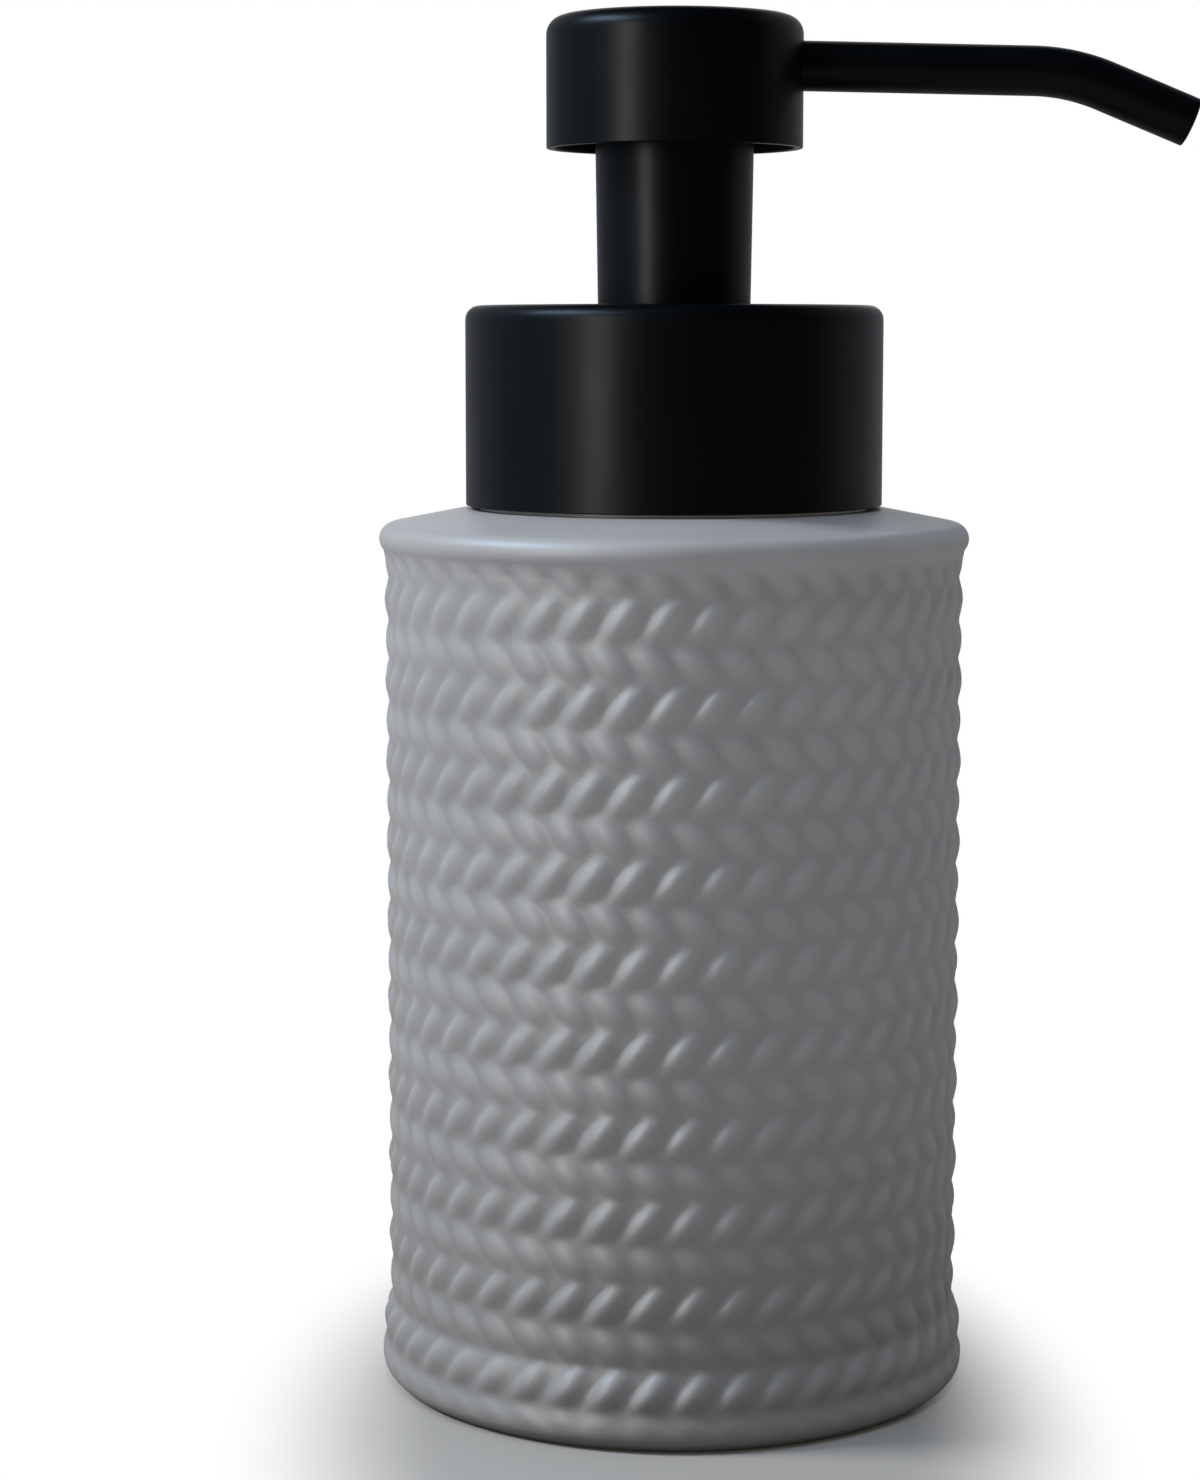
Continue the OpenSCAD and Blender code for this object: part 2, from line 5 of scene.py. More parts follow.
import bmesh
import bpy
import numpy as np
from bpy.props import (
    FloatProperty,
    FloatVectorProperty,
    IntProperty,
    PointerProperty,
    StringProperty,
)
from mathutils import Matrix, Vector


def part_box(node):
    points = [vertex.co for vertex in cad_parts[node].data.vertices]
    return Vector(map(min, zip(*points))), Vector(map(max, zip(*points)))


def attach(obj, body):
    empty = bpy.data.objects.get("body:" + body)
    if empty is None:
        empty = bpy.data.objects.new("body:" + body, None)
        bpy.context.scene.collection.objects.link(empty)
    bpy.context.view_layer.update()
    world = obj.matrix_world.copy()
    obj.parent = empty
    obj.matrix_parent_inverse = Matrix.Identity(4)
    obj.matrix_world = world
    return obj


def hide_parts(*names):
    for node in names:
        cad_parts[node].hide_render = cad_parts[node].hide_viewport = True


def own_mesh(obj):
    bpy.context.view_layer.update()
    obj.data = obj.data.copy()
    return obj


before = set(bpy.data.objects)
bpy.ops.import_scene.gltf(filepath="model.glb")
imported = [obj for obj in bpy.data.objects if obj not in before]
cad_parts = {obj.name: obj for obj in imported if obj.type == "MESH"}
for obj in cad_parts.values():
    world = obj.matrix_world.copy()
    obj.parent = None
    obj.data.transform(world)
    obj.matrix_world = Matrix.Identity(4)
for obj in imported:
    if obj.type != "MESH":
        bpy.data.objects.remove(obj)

bl_info = {
    "name": "Knit Soap Pump",
    "version": (1, 0, 0),
    "blender": (4, 5, 0),
    "location": "3D View > Sidebar > Soap Pump",
    "description": "Builds the looks of a ceramic soap pump around its packed parts",
    "category": "Object",
}

MM = 0.001
TAU = 2 * math.pi
SAME_POINT = 0.0001 * MM    # corners this near each other in a turned shell are one
LOOSE_POINT = 0.001 * MM    # the same for the loose triangles of a part of the frame


def top_of(node):
    """Highest point of a part of the frame."""
    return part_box(node)[1].z


def foot_of(node):
    """Lowest point of a part of the frame."""
    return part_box(node)[0].z


def radius_of(node):
    """Largest radius of a part that is round about the axis."""
    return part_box(node)[1].y


# ---- Sizes and colours that a user would change ----


def length(name, description, default, low=0.0):
    """A length property with its name, description and default, in metres."""
    return FloatProperty(name=name, description=description, default=default, min=low, max=1.0,
                         unit="LENGTH", subtype="DISTANCE", precision=5)


def colour(name, description, default):
    """A colour property, written as an sRGB hex value."""
    return StringProperty(name=name, description=description, default=default)


class SoapPumpBottle(bpy.types.PropertyGroup):
    """Sizes of the bottle and of its knit relief"""
    crest_r: length("Crest radius", "Radius over the crests of the knit grains", 36.98 * MM)
    relief: length("Relief", "Depth of the valleys under the crests", 0.80 * MM)
    stitches: IntProperty(name="Stitches", description="Grains in one row, all round the bottle",
                          default=44, min=8, max=120)
    row_pitch: length("Row height", "Height of one row of grains", 5.18 * MM)
    row_top: length("Top of the full rows", "Height of the top of the first full row", 103.1 * MM)
    rise_lean: FloatProperty(name="Lean of the rising grains", default=0.701, subtype="ANGLE",
                             description="Angle of a rising grain from upright")
    rise_l: length("Rising half length", "Half length of a rising grain", 4.40 * MM)
    rise_w: length("Rising half width", "Half width of a rising grain", 2.30 * MM)
    rise_tip: FloatProperty(name="Rising tip", default=1.76, min=1.0, max=4.0,
                            description="Power along a rising grain: low is pointed, high is blunt")
    rise_skew: FloatProperty(name="Rising skew", default=0.30, min=-0.8, max=0.8,
                             description="Shift of the crest across a rising grain")
    rise_up: length("Rising offset", "Height of a rising grain over its row's middle",
                    -0.18 * MM, low=-0.01)
    rise_phase: FloatProperty(name="Phase of the rising rows", default=0.789,
                              description="Place of a rising grain round the bottle, in stitches")
    rise_h: length("Rising relief", "Height of a rising grain", 0.72 * MM)
    fall_lean: FloatProperty(name="Lean of the falling grains", default=-0.786, subtype="ANGLE",
                             description="Angle of a falling grain from upright")
    fall_l: length("Falling half length", "Half length of a falling grain", 3.76 * MM)
    fall_w: length("Falling half width", "Half width of a falling grain", 2.31 * MM)
    fall_tip: FloatProperty(name="Falling tip", default=2.25, min=1.0, max=4.0,
                            description="Power along a falling grain: low is pointed, high is blunt")
    fall_skew: FloatProperty(name="Falling skew", default=0.0, min=-0.8, max=0.8,
                             description="Shift of the crest across a falling grain")
    fall_up: length("Falling offset", "Height of a falling grain over its row's middle",
                    0.08 * MM, low=-0.01)
    fall_phase: FloatProperty(name="Phase of the falling rows", default=0.413,
                              description="Place of a falling grain round the bottle, in stitches")
    fall_h: length("Falling relief", "Height of a falling grain", 0.56 * MM)
    drift: FloatProperty(name="Drift", default=-0.079,
                         description="Turn of each pair of rows from the pair below, in stitches")
    fullness: FloatProperty(name="Fullness", default=1.5, min=0.3, max=3.0,
                            description="Power of the grain's section: low is plump, high is peaked")
    blend: length("Blend", "How softly crossing grains run into each other", 0.40 * MM)
    lip_r: length("Lip radius", "Outer radius of the lip", 37.5 * MM)
    lip_z: length("Lip height", "Height of the middle of the lip", 108.28 * MM)
    lip_round: length("Lip rounding", "Radius of the lip's section", 2.0 * MM)
    lip_under: FloatProperty(name="Grooves under the lip", default=0.7, min=0.0, max=2.0,
                             description="Where they end below its middle, in lip roundings")
    shoulder_slope: FloatProperty(name="Shoulder slope", default=math.radians(11.0),
                                  subtype="ANGLE",
                                  description="Slope at which the lip runs into the shoulder")
    seat_r: length("Seat radius", "Outer radius of the flat seat round the mouth", 26.9 * MM)
    mouth_r: length("Mouth radius", "Radius of the mouth", 20.75 * MM)
    mouth_round: length("Mouth rounding", "Rounding of the mouth's edge", 0.5 * MM)
    cavity_r: length("Hollow radius", "Radius of the hollow", 32.55 * MM)
    cavity_round: length("Hollow rounding", "Rounding inside, above and below", 6.0 * MM)
    floor_z: length("Floor height", "Height of the floor inside", 6.2 * MM)
    cover: length("Shoulder wall", "Thickness of the shoulder over the hollow", 5.0 * MM)
    belly_z: length("Belly height", "Height at which the foot is widest", 4.3 * MM)
    foot_edge: length("Foot edge", "Rounding of the foot's outer edge", 2.2 * MM)
    wall_z: length("Wall start", "Height at which the straight wall starts", 9.86 * MM)
    ring_w: length("Foot ring width", "Width of the foot ring up to its outer edge", 4.0 * MM)
    recess: length("Recess", "Depth of the recess inside the foot ring", 1.2 * MM)
    recess_lean: length("Recess lean", "How far the recess's wall leans in", 0.5 * MM)
    break_edge: length("Broken edge", "Size of the small bevels at the mouth and foot", 0.3 * MM)
    foot_plain: length("Plain foot", "Height under which the foot has no relief", 1.6 * MM)
    foot_fade: length("Fade at the foot", "Height over which the lowest rows melt into the foot",
                      3.6 * MM)
    lip_fade: length("Fade at the lip", "Height over which the grooves end under the lip",
                     1.3 * MM)
    clay_top: length("Clay height", "Height of the unglazed edge of the foot ring", 0.5 * MM)


class SoapPumpMetal(bpy.types.PropertyGroup):
    """Sizes of the collar, the head, the sleeve and the spout"""
    collar_round: length("Collar rounding", "Radius of the collar's top edge", 1.8 * MM)
    head_round: length("Head rounding", "Radius of the head's top edge", 2.3 * MM)
    edge_round: length("Edge rounding", "Radius of the cut edges of the shells", 0.16 * MM)
    collar_wall: length("Collar wall", "Wall of the collar shell", 0.7 * MM)
    collar_gap: length("Collar gap", "Gap between the sleeve and the collar's hole", 0.2 * MM)
    head_wall: length("Head wall", "Wall of the head shell", 1.0 * MM)
    sleeve_wall: length("Sleeve wall", "Wall of the sleeve at its lower end", 0.85 * MM)
    sleeve_draft: FloatProperty(name="Sleeve draft", default=math.radians(0.9), subtype="ANGLE",
                                description="Angle by which the sleeve widens upwards")
    spout_r: length("Spout radius", "Outer radius of the spout", 3.125 * MM)
    spout_wall: length("Spout wall", "Wall of the spout", 0.5 * MM)
    spout_lip: length("Spout lip", "Rounding of the spout's cut ends", 0.12 * MM)
    spout_ring: length("Spout ring", "Spacing of the rings along the spout", 1.2 * MM)
    spout_drop: length("Spout drop", "Depth of the spout's line below the head's top", 6.1 * MM)
    spout_start_x: length("Spout start", "Distance from the axis to the inner end", 4.03 * MM)
    spout_bend_x: length("Bend", "Distance from the axis to the start of the bend", 45.0 * MM)
    spout_bend_r: length("Bend radius", "Centre-line radius of the bend", 25.0 * MM)
    outlet_len: length("Outlet", "Length of the straight outlet", 11.75 * MM)
    spout_slope: FloatProperty(name="Spout slope", default=math.radians(1.2), subtype="ANGLE",
                               description="Slope of the long straight part")
    outlet_slope: FloatProperty(name="Outlet slope", default=math.radians(22.5), subtype="ANGLE",
                                description="Slope of the outlet after the bend")


class SoapPumpWorks(bpy.types.PropertyGroup):
    """Sizes of the return spring, and the smoothing of the inner pieces"""
    turns: IntProperty(name="Turns", description="Turns of the return spring", default=7, min=3,
                       max=20)
    wire_r: length("Wire radius", "Radius of the spring wire", 0.4 * MM)
    pressed: FloatProperty(name="Pressed height", default=0.31, min=0.1, max=1.0,
                           description="Share of the spring's height left when it is pressed")
    smooth_under: FloatProperty(name="Smoothing", default=math.radians(28), subtype="ANGLE",
                                description="Faces that meet at less than this look round")


class SoapPumpFinish(bpy.types.PropertyGroup):
    """Colours of the finishes"""
    glaze: colour("Glaze", "Grey satin glaze", "#8c8b8a")
    # The deeper grey is partly pooled glaze and partly painted shade in the grooves
    pooled_glaze_and_groove_shade: colour("Deep glaze", "Glaze where it pools in the grooves", "#848382")
    bisque: colour("Bisque", "Bare fired clay of the foot ring", "#cfc3a6")
    coat: colour("Coat", "Black powder coat of the metal shells", "#030507")
    resin: colour("Resin", "Black moulded plastic", "#040608")
    natural: colour("Natural plastic", "Uncoloured polypropylene", "#dadcd7")
    white: colour("White plastic", "White moulded plastic", "#dddcd8")
    tube: colour("Tube", "Clear polyethylene of the dip tube", "#e6ebea")
    wire: colour("Spring wire", "Stainless spring steel", "#b4b6b8")
    foam: colour("Foam", "Foamed polyethylene of the washer", "#e3e1d8")
    rubber: colour("Rubber", "Silicone of the air valve", "#cfc9bf")
    glass: colour("Glass", "Soda-lime glass of the valve balls", "#e9f2ee")
    nylon: colour("Nylon", "Nylon thread of the foam screens", "#eceae2")


class SoapPumpStage(bpy.types.PropertyGroup):
    """Camera, floor and fill light"""
    eye: FloatVectorProperty(name="Camera place", description="Where the camera stands",
                             default=(-9.39 * MM, -421.3 * MM, 133.9 * MM), subtype="TRANSLATION")
    tilt: FloatProperty(name="Camera tilt", description="How far the camera looks down",
                        default=math.radians(7.0), subtype="ANGLE")
    lens: FloatProperty(name="Lens", description="Focal length on a 36 mm high sensor",
                        default=80.27, min=10, max=300, unit="CAMERA")
    # The floor colour is the grey of the paper under the painted soft shadow, which the shade sizes
    # below place and size
    floor: colour("Floor", "Pale floor in the object's own shadow", "#96938e")
    shade_y: length("Shade place", "Middle of the soft shadow, towards the front",
                    -22 * MM, low=-0.5)
    shade_deep: FloatProperty(name="Shade depth", default=1.9, min=0.2, max=5.0,
                              description="Depth of the soft shadow over its width")
    shade_in: length("Shade core", "Half width of the darkest part of the soft shadow", 28 * MM)
    shade_out: length("Shade edge", "Half width of the whole soft shadow", 57 * MM)
    dim_in: length("Dim from", "Where the floor starts to throw light back", 60 * MM)
    dim_out: length("Dim to", "Where the floor throws back all its light", 165 * MM)
    back_near: FloatProperty(name="Light back near", default=0.03, min=0.0, max=1.0,
                             description="Share of light that the floor throws back up close")
    back_far: FloatProperty(name="Light back far", default=0.9, min=0.0, max=1.0,
                            description="Share of light that the floor throws back further off")
    mirrored: FloatProperty(name="Mirrored floor", default=0.35, min=0.0, max=1.0,
                            description="Brightness of the white floor mirrored in the object")
    fill: FloatProperty(name="Fill", default=0.39, min=0.0, max=5.0,
                        description="Strength of the soft light from all round")


# ---- Helpers ----


def hex_to_linear(code):
    """Linear red, green, blue and alpha of an sRGB hex value."""
    channels = [int(code[i:i + 2], 16) / 255 for i in (1, 3, 5)]
    return [c / 12.92 if c <= 0.04045 else ((c + 0.055) / 1.055) ** 2.4 for c in channels] + [1.0]


def add_node(tree, kind, sockets=None, **settings):
    """Adds a node with its settings; sockets maps each input to a value, a socket or a node."""
    node = tree.nodes.new(kind)
    for name, value in settings.items():
        setattr(node, name, value)
    for key, value in (sockets or {}).items():
        if isinstance(value, bpy.types.Node):
            value = value.outputs[0]
        if isinstance(value, bpy.types.NodeSocket):
            tree.links.new(value, node.inputs[key])
        else:
            node.inputs[key].default_value = value
    return node


def new_material(name):
    """A material with an empty tree, its Principled shader and its output."""
    material = bpy.data.materials.new(name)
    material.use_nodes = True
    tree = material.node_tree
    tree.nodes.clear()
    shader = add_node(tree, "ShaderNodeBsdfPrincipled")
    add_node(tree, "ShaderNodeOutputMaterial", {"Surface": shader.outputs["BSDF"]})
    return material, tree, shader


def new_piece(name, vertices, faces, smooth=True):
    """A mesh object in the scene, made from its vertices and faces."""
    mesh = bpy.data.meshes.new(name)
    mesh.from_pydata(vertices, [], faces)
    mesh.validate()
    if smooth:
        mesh.shade_smooth()
    piece = bpy.data.objects.new(name, mesh)
    bpy.context.scene.collection.objects.link(piece)
    return piece


def face_outwards(piece):
    """Turns the faces of a closed piece outwards."""
    work = bmesh.new()
    work.from_mesh(piece.data)
    bmesh.ops.remove_doubles(work, verts=work.verts, dist=SAME_POINT)
    bmesh.ops.recalc_face_normals(work, faces=work.faces)
    work.to_mesh(piece.data)
    work.free()


def set_inputs(modifier, values):
    """Sets the named inputs of a Geometry Nodes modifier by their identifiers."""
    for socket in modifier.node_group.interface.items_tree:
        if socket.item_type == "SOCKET" and socket.name in values:
            modifier[socket.identifier] = values[socket.name]


def made_plain(piece):
    """The piece with its modifiers turned into a plain mesh."""
    depsgraph = bpy.context.evaluated_depsgraph_get()
    mesh = bpy.data.meshes.new_from_object(piece.evaluated_get(depsgraph))
    piece.modifiers.clear()
    piece.data = mesh
    return piece


def fit(piece, body, slot, *nodes):
    """Ties a finished piece to its body and hides the parts that it stands for. The slot of its
    finish is not used.
    """
    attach(piece, body)
    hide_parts(*nodes)


def arc(centre_r, centre_z, radius, start, end, steps):
    """Points of a section along an arc, with its angles in degrees from the outward direction."""
    angles = np.radians(np.linspace(start, end, steps + 1))
    return [(centre_r + radius * math.cos(a), centre_z + radius * math.sin(a)) for a in angles]


def straight(start, end, steps):
    """Points of a section along a line, without its two ends."""
    return [tuple(np.array(start) + (np.array(end) - np.array(start)) * i / steps)
            for i in range(1, steps)]


def rounded(corners, steps=6):
    """Closed section through corners (r, z, rounding), with support points beside each arc."""
    support_reach = 1.35    # distance of a support point from its corner, in reaches of the arc
    points = []
    for i, (r, z, radius) in enumerate(corners):
        here = Vector((r, z))
        before = Vector(corners[i - 1][:2]) - here
        after = Vector(corners[(i + 1) % len(corners)][:2]) - here
        if radius <= 0:
            points.append((r, z))
            continue
        half = before.angle(after) / 2
        reach = radius / math.tan(half)
        support = reach * support_reach
        centre = here + (before.normalized() + after.normalized()).normalized() * (
            radius / math.sin(half))
        first = here + before.normalized() * reach - centre
        last = here + after.normalized() * reach - centre
        turn = first.angle_signed(last)
        points.append(tuple(here + before.normalized() * support))
        for step in range(steps + 1):
            a = math.atan2(first.y, first.x) - turn * step / steps
            points.append((centre.x + radius * math.cos(a), centre.y + radius * math.sin(a)))
        points.append(tuple(here + after.normalized() * support))
    return points


def revolved(name, section, columns=192):
    """Closed shell of revolution from a closed section of (r, z) points."""
    angles = np.arange(columns) * TAU / columns
    vertices = [(r * math.cos(a), r * math.sin(a), z) for r, z in section for a in angles]
    rows = len(section)
    faces = [(row * columns + c, row * columns + (c + 1) % columns,
              (row + 1) % rows * columns + (c + 1) % columns, (row + 1) % rows * columns + c)
             for row in range(rows) for c in range(columns)]
    piece = new_piece(name, vertices, faces)
    face_outwards(piece)
    return piece


# ---- Materials: each is named for its real finish ----


def satin_glaze(finish):
    """Stoneware under a satin matt glaze: soft broad highlights, a faint orange-peel skin, and
    a slightly deeper grey in the grooves, partly where the glaze pools and partly painted shade."""
    material, tree, shader = new_material("satin_grey_glaze")
    place = add_node(tree, "ShaderNodeTexCoord").outputs["Object"]
    relief = add_node(tree, "ShaderNodeAttribute", attribute_name="relief").outputs["Fac"]
    # Colour clouds about 18 mm across, from uneven spraying
    clouds = add_node(tree, "ShaderNodeTexNoise",
                      {"Vector": place, "Scale": 55.0, "Detail": 2.0, "Roughness": 0.45})
    # Darker grey in the grooves: the glaze pools there, and painted shade is added in them
    pool_and_groove_shade = add_node(tree, "ShaderNodeMapRange", {0: relief, 1: 0.0, 2: 0.75, 3: 0.0, 4: 1.0},
                    interpolation_type="SMOOTHSTEP")
    mixed = add_node(tree, "ShaderNodeMix", {0: pool_and_groove_shade, 6: hex_to_linear(finish.pooled_glaze_and_groove_shade),
                                             7: hex_to_linear(finish.glaze)}, data_type="RGBA")
    shade = add_node(tree, "ShaderNodeMapRange",
                     {0: clouds.outputs["Fac"], 1: 0.3, 2: 0.7, 3: 0.965, 4: 1.035})
    tint = add_node(tree, "ShaderNodeVectorMath",
                    {0: mixed.outputs["Result"], 1: shade.outputs["Result"]}, operation="MULTIPLY")
    # Iron specks 0.4 mm across, here and there in the glaze
    grit = add_node(tree, "ShaderNodeTexVoronoi", {"Vector": place, "Scale": 620.0})
    speck = add_node(tree, "ShaderNodeMapRange",
                     {0: grit.outputs["Distance"], 1: 0.04, 2: 0.12, 3: 0.93, 4: 1.0})
    final = add_node(tree, "ShaderNodeVectorMath", {0: tint, 1: speck.outputs["Result"]},
                     operation="MULTIPLY")
    tree.links.new(final.outputs[0], shader.inputs["Base Color"])
    # Orange peel about 1.6 mm across over a matt tooth of 0.15 mm
    peel = add_node(tree, "ShaderNodeTexNoise", {"Vector": place, "Scale": 620.0, "Detail": 1.0})
    tooth = add_node(tree, "ShaderNodeTexNoise", {"Vector": place, "Scale": 6500.0, "Detail": 2.0})
    coarse = add_node(tree, "ShaderNodeBump", {"Strength": 0.10, "Distance": 0.12 * MM,
                                               "Height": peel.outputs["Fac"]})
    fine = add_node(tree, "ShaderNodeBump", {"Strength": 0.14, "Distance": 0.02 * MM,
                                             "Height": tooth.outputs["Fac"], "Normal": coarse})
    tree.links.new(fine.outputs[0], shader.inputs["Normal"])
    gloss = add_node(tree, "ShaderNodeMapRange",
                     {0: clouds.outputs["Fac"], 1: 0.3, 2: 0.7, 3: 0.46, 4: 0.52})
    tree.links.new(gloss.outputs["Result"], shader.inputs["Roughness"])
    shader.inputs["IOR"].default_value = 1.5
    shader.inputs["Specular IOR Level"].default_value = 0.65
    return material


def bisque(finish):
    """Bare fired clay where the glaze is wiped off the foot ring: chalky, with fine grit."""
    material, tree, shader = new_material("bare_stoneware_bisque")
    place = add_node(tree, "ShaderNodeTexCoord").outputs["Object"]
    # Clay grit about 0.5 mm across
    grit = add_node(tree, "ShaderNodeTexNoise", {"Vector": place, "Scale": 2000.0, "Detail": 3.0})
    base = hex_to_linear(finish.bisque)
    dark = [0.72 * c for c in base[:3]] + [1.0]
    mixed = add_node(tree, "ShaderNodeMix", {0: grit.outputs["Fac"], 6: dark, 7: base},
                     data_type="RGBA")
    tree.links.new(mixed.outputs["Result"], shader.inputs["Base Color"])
    bump = add_node(tree, "ShaderNodeBump", {"Strength": 0.35, "Distance": 0.05 * MM,
                                             "Height": grit.outputs["Fac"]})
    tree.links.new(bump.outputs[0], shader.inputs["Normal"])
    shader.inputs["Roughness"].default_value = 0.88
    return material


def powder_coat(finish):
    """Fine black powder coat on spun aluminium: satin, near black, with a very fine grain."""
    material, tree, shader = new_material("satin_black_powder_coat")
    place = add_node(tree, "ShaderNodeTexCoord").outputs["Object"]
    # Powder grain about 0.25 mm across, a little coarser than the real one so that it shows
    grain = add_node(tree, "ShaderNodeTexNoise", {"Vector": place, "Scale": 4000.0, "Detail": 2.0})
    bump = add_node(tree, "ShaderNodeBump", {"Strength": 0.10, "Distance": 0.02 * MM,
                                             "Height": grain.outputs["Fac"]})
    tree.links.new(bump.outputs[0], shader.inputs["Normal"])
    # Handling marks, 15 mm across, vary the gloss a little
    marks = add_node(tree, "ShaderNodeTexNoise", {"Vector": place, "Scale": 65.0, "Detail": 3.0})
    gloss = add_node(tree, "ShaderNodeMapRange",
                     {0: marks.outputs["Fac"], 1: 0.3, 2: 0.7, 3: 0.33, 4: 0.40})
    tree.links.new(gloss.outputs["Result"], shader.inputs["Roughness"])
    shader.inputs["Base Color"].default_value = hex_to_linear(finish.coat)
    shader.inputs["IOR"].default_value = 1.45
    shader.inputs["Specular IOR Level"].default_value = 0.135
    return material


def black_resin(finish):
    """Black moulded polypropylene: a satin skin with faint flow lines along the pull."""
    material, tree, shader = new_material("moulded_black_polypropylene")
    place = add_node(tree, "ShaderNodeTexCoord").outputs["Object"]
    # Draw marks 0.3 mm apart round the part, stretched along its height
    stretched = add_node(tree, "ShaderNodeMapping", {"Vector": place, "Scale": (1.0, 1.0, 0.04)})
    lines = add_node(tree, "ShaderNodeTexNoise",
                     {"Vector": stretched.outputs[0], "Scale": 3300.0, "Detail": 1.0})
    bump = add_node(tree, "ShaderNodeBump", {"Strength": 0.06, "Distance": 0.02 * MM,
                                             "Height": lines.outputs["Fac"]})
    tree.links.new(bump.outputs[0], shader.inputs["Normal"])
    shader.inputs["Base Color"].default_value = hex_to_linear(finish.resin)
    shader.inputs["Roughness"].default_value = 0.36
    shader.inputs["IOR"].default_value = 1.45
    shader.inputs["Specular IOR Level"].default_value = 0.135
    return material


def natural_polypropylene(finish):
    """Uncoloured moulded polypropylene: milky and waxy, and it passes some light."""
    material, tree, shader = new_material("moulded_natural_polypropylene")
    place = add_node(tree, "ShaderNodeTexCoord").outputs["Object"]
    # Flow marks about 9 mm across, where the melt has cooled a little cloudier
    flow = add_node(tree, "ShaderNodeTexNoise", {"Vector": place, "Scale": 110.0, "Detail": 3.0,
                                                 "Distortion": 0.6})
    base = hex_to_linear(finish.natural)
    cloudy = [0.88 * c for c in base[:3]] + [1.0]
    mixed = add_node(tree, "ShaderNodeMix", {0: flow.outputs["Fac"], 6: cloudy, 7: base},
                     data_type="RGBA")
    tree.links.new(mixed.outputs["Result"], shader.inputs["Base Color"])
    # Spark-eroded skin, 0.3 mm grain
    grain = add_node(tree, "ShaderNodeTexNoise", {"Vector": place, "Scale": 3300.0})
    bump = add_node(tree, "ShaderNodeBump", {"Strength": 0.08, "Distance": 0.02 * MM,
                                             "Height": grain.outputs["Fac"]})
    tree.links.new(bump.outputs[0], shader.inputs["Normal"])
    shader.inputs["Roughness"].default_value = 0.36
    shader.inputs["IOR"].default_value = 1.49
    shader.inputs["Transmission Weight"].default_value = 0.25
    return material


def white_polypropylene(finish):
    """White filled polypropylene of the threaded pieces: opaque, satin, with a fine grain."""
    material, tree, shader = new_material("moulded_white_polypropylene")
    place = add_node(tree, "ShaderNodeTexCoord").outputs["Object"]
    # Warm clouds of filler about 12 mm across
    cloud = add_node(tree, "ShaderNodeTexNoise", {"Vector": place, "Scale": 85.0, "Detail": 2.0})
    base = hex_to_linear(finish.white)
    warm = [0.95 * base[0], 0.93 * base[1], 0.89 * base[2], 1.0]
    mixed = add_node(tree, "ShaderNodeMix", {0: cloud.outputs["Fac"], 6: warm, 7: base},
                     data_type="RGBA")
    tree.links.new(mixed.outputs["Result"], shader.inputs["Base Color"])
    # Moulding grain of 0.4 mm
    grain = add_node(tree, "ShaderNodeTexNoise", {"Vector": place, "Scale": 2500.0})
    bump = add_node(tree, "ShaderNodeBump", {"Strength": 0.12, "Distance": 0.03 * MM,
                                             "Height": grain.outputs["Fac"]})
    tree.links.new(bump.outputs[0], shader.inputs["Normal"])
    shader.inputs["Roughness"].default_value = 0.42
    shader.inputs["IOR"].default_value = 1.49
    return material


def clear_polyethylene(finish):
    """Extruded low-density polyethylene tube: clear but hazy, with die lines along it."""
    material, tree, shader = new_material("extruded_clear_polyethylene")
    place = add_node(tree, "ShaderNodeTexCoord").outputs["Object"]
    # Die lines 0.4 mm apart round the tube, drawn out along its length
    drawn = add_node(tree, "ShaderNodeMapping", {"Vector": place, "Scale": (1.0, 1.0, 0.02)})
    lines = add_node(tree, "ShaderNodeTexNoise", {"Vector": drawn.outputs[0], "Scale": 2500.0})
    bump = add_node(tree, "ShaderNodeBump", {"Strength": 0.15, "Distance": 0.03 * MM,
                                             "Height": lines.outputs["Fac"]})
    tree.links.new(bump.outputs[0], shader.inputs["Normal"])
    haze = add_node(tree, "ShaderNodeMapRange", {0: lines.outputs["Fac"], 3: 0.20, 4: 0.34})
    tree.links.new(haze.outputs["Result"], shader.inputs["Roughness"])
    shader.inputs["Base Color"].default_value = hex_to_linear(finish.tube)
    shader.inputs["IOR"].default_value = 1.51
    shader.inputs["Transmission Weight"].default_value = 0.7
    return material


def spring_steel(finish):
    """Drawn stainless spring wire: bright metal with fine drawing marks."""
    material, tree, shader = new_material("drawn_stainless_spring_steel")
    place = add_node(tree, "ShaderNodeTexCoord").outputs["Object"]
    # Drawing marks 0.1 mm apart, drawn out along the turns of the wire
    drawn = add_node(tree, "ShaderNodeMapping", {"Vector": place, "Scale": (0.15, 0.15, 1.0)})
    marks = add_node(tree, "ShaderNodeTexNoise", {"Vector": drawn.outputs[0], "Scale": 10000.0,
                                                  "Detail": 2.0})
    gloss = add_node(tree, "ShaderNodeMapRange", {0: marks.outputs["Fac"], 3: 0.20, 4: 0.36})
    tree.links.new(gloss.outputs["Result"], shader.inputs["Roughness"])
    shader.inputs["Base Color"].default_value = hex_to_linear(finish.wire)
    shader.inputs["Metallic"].default_value = 1.0
    return material


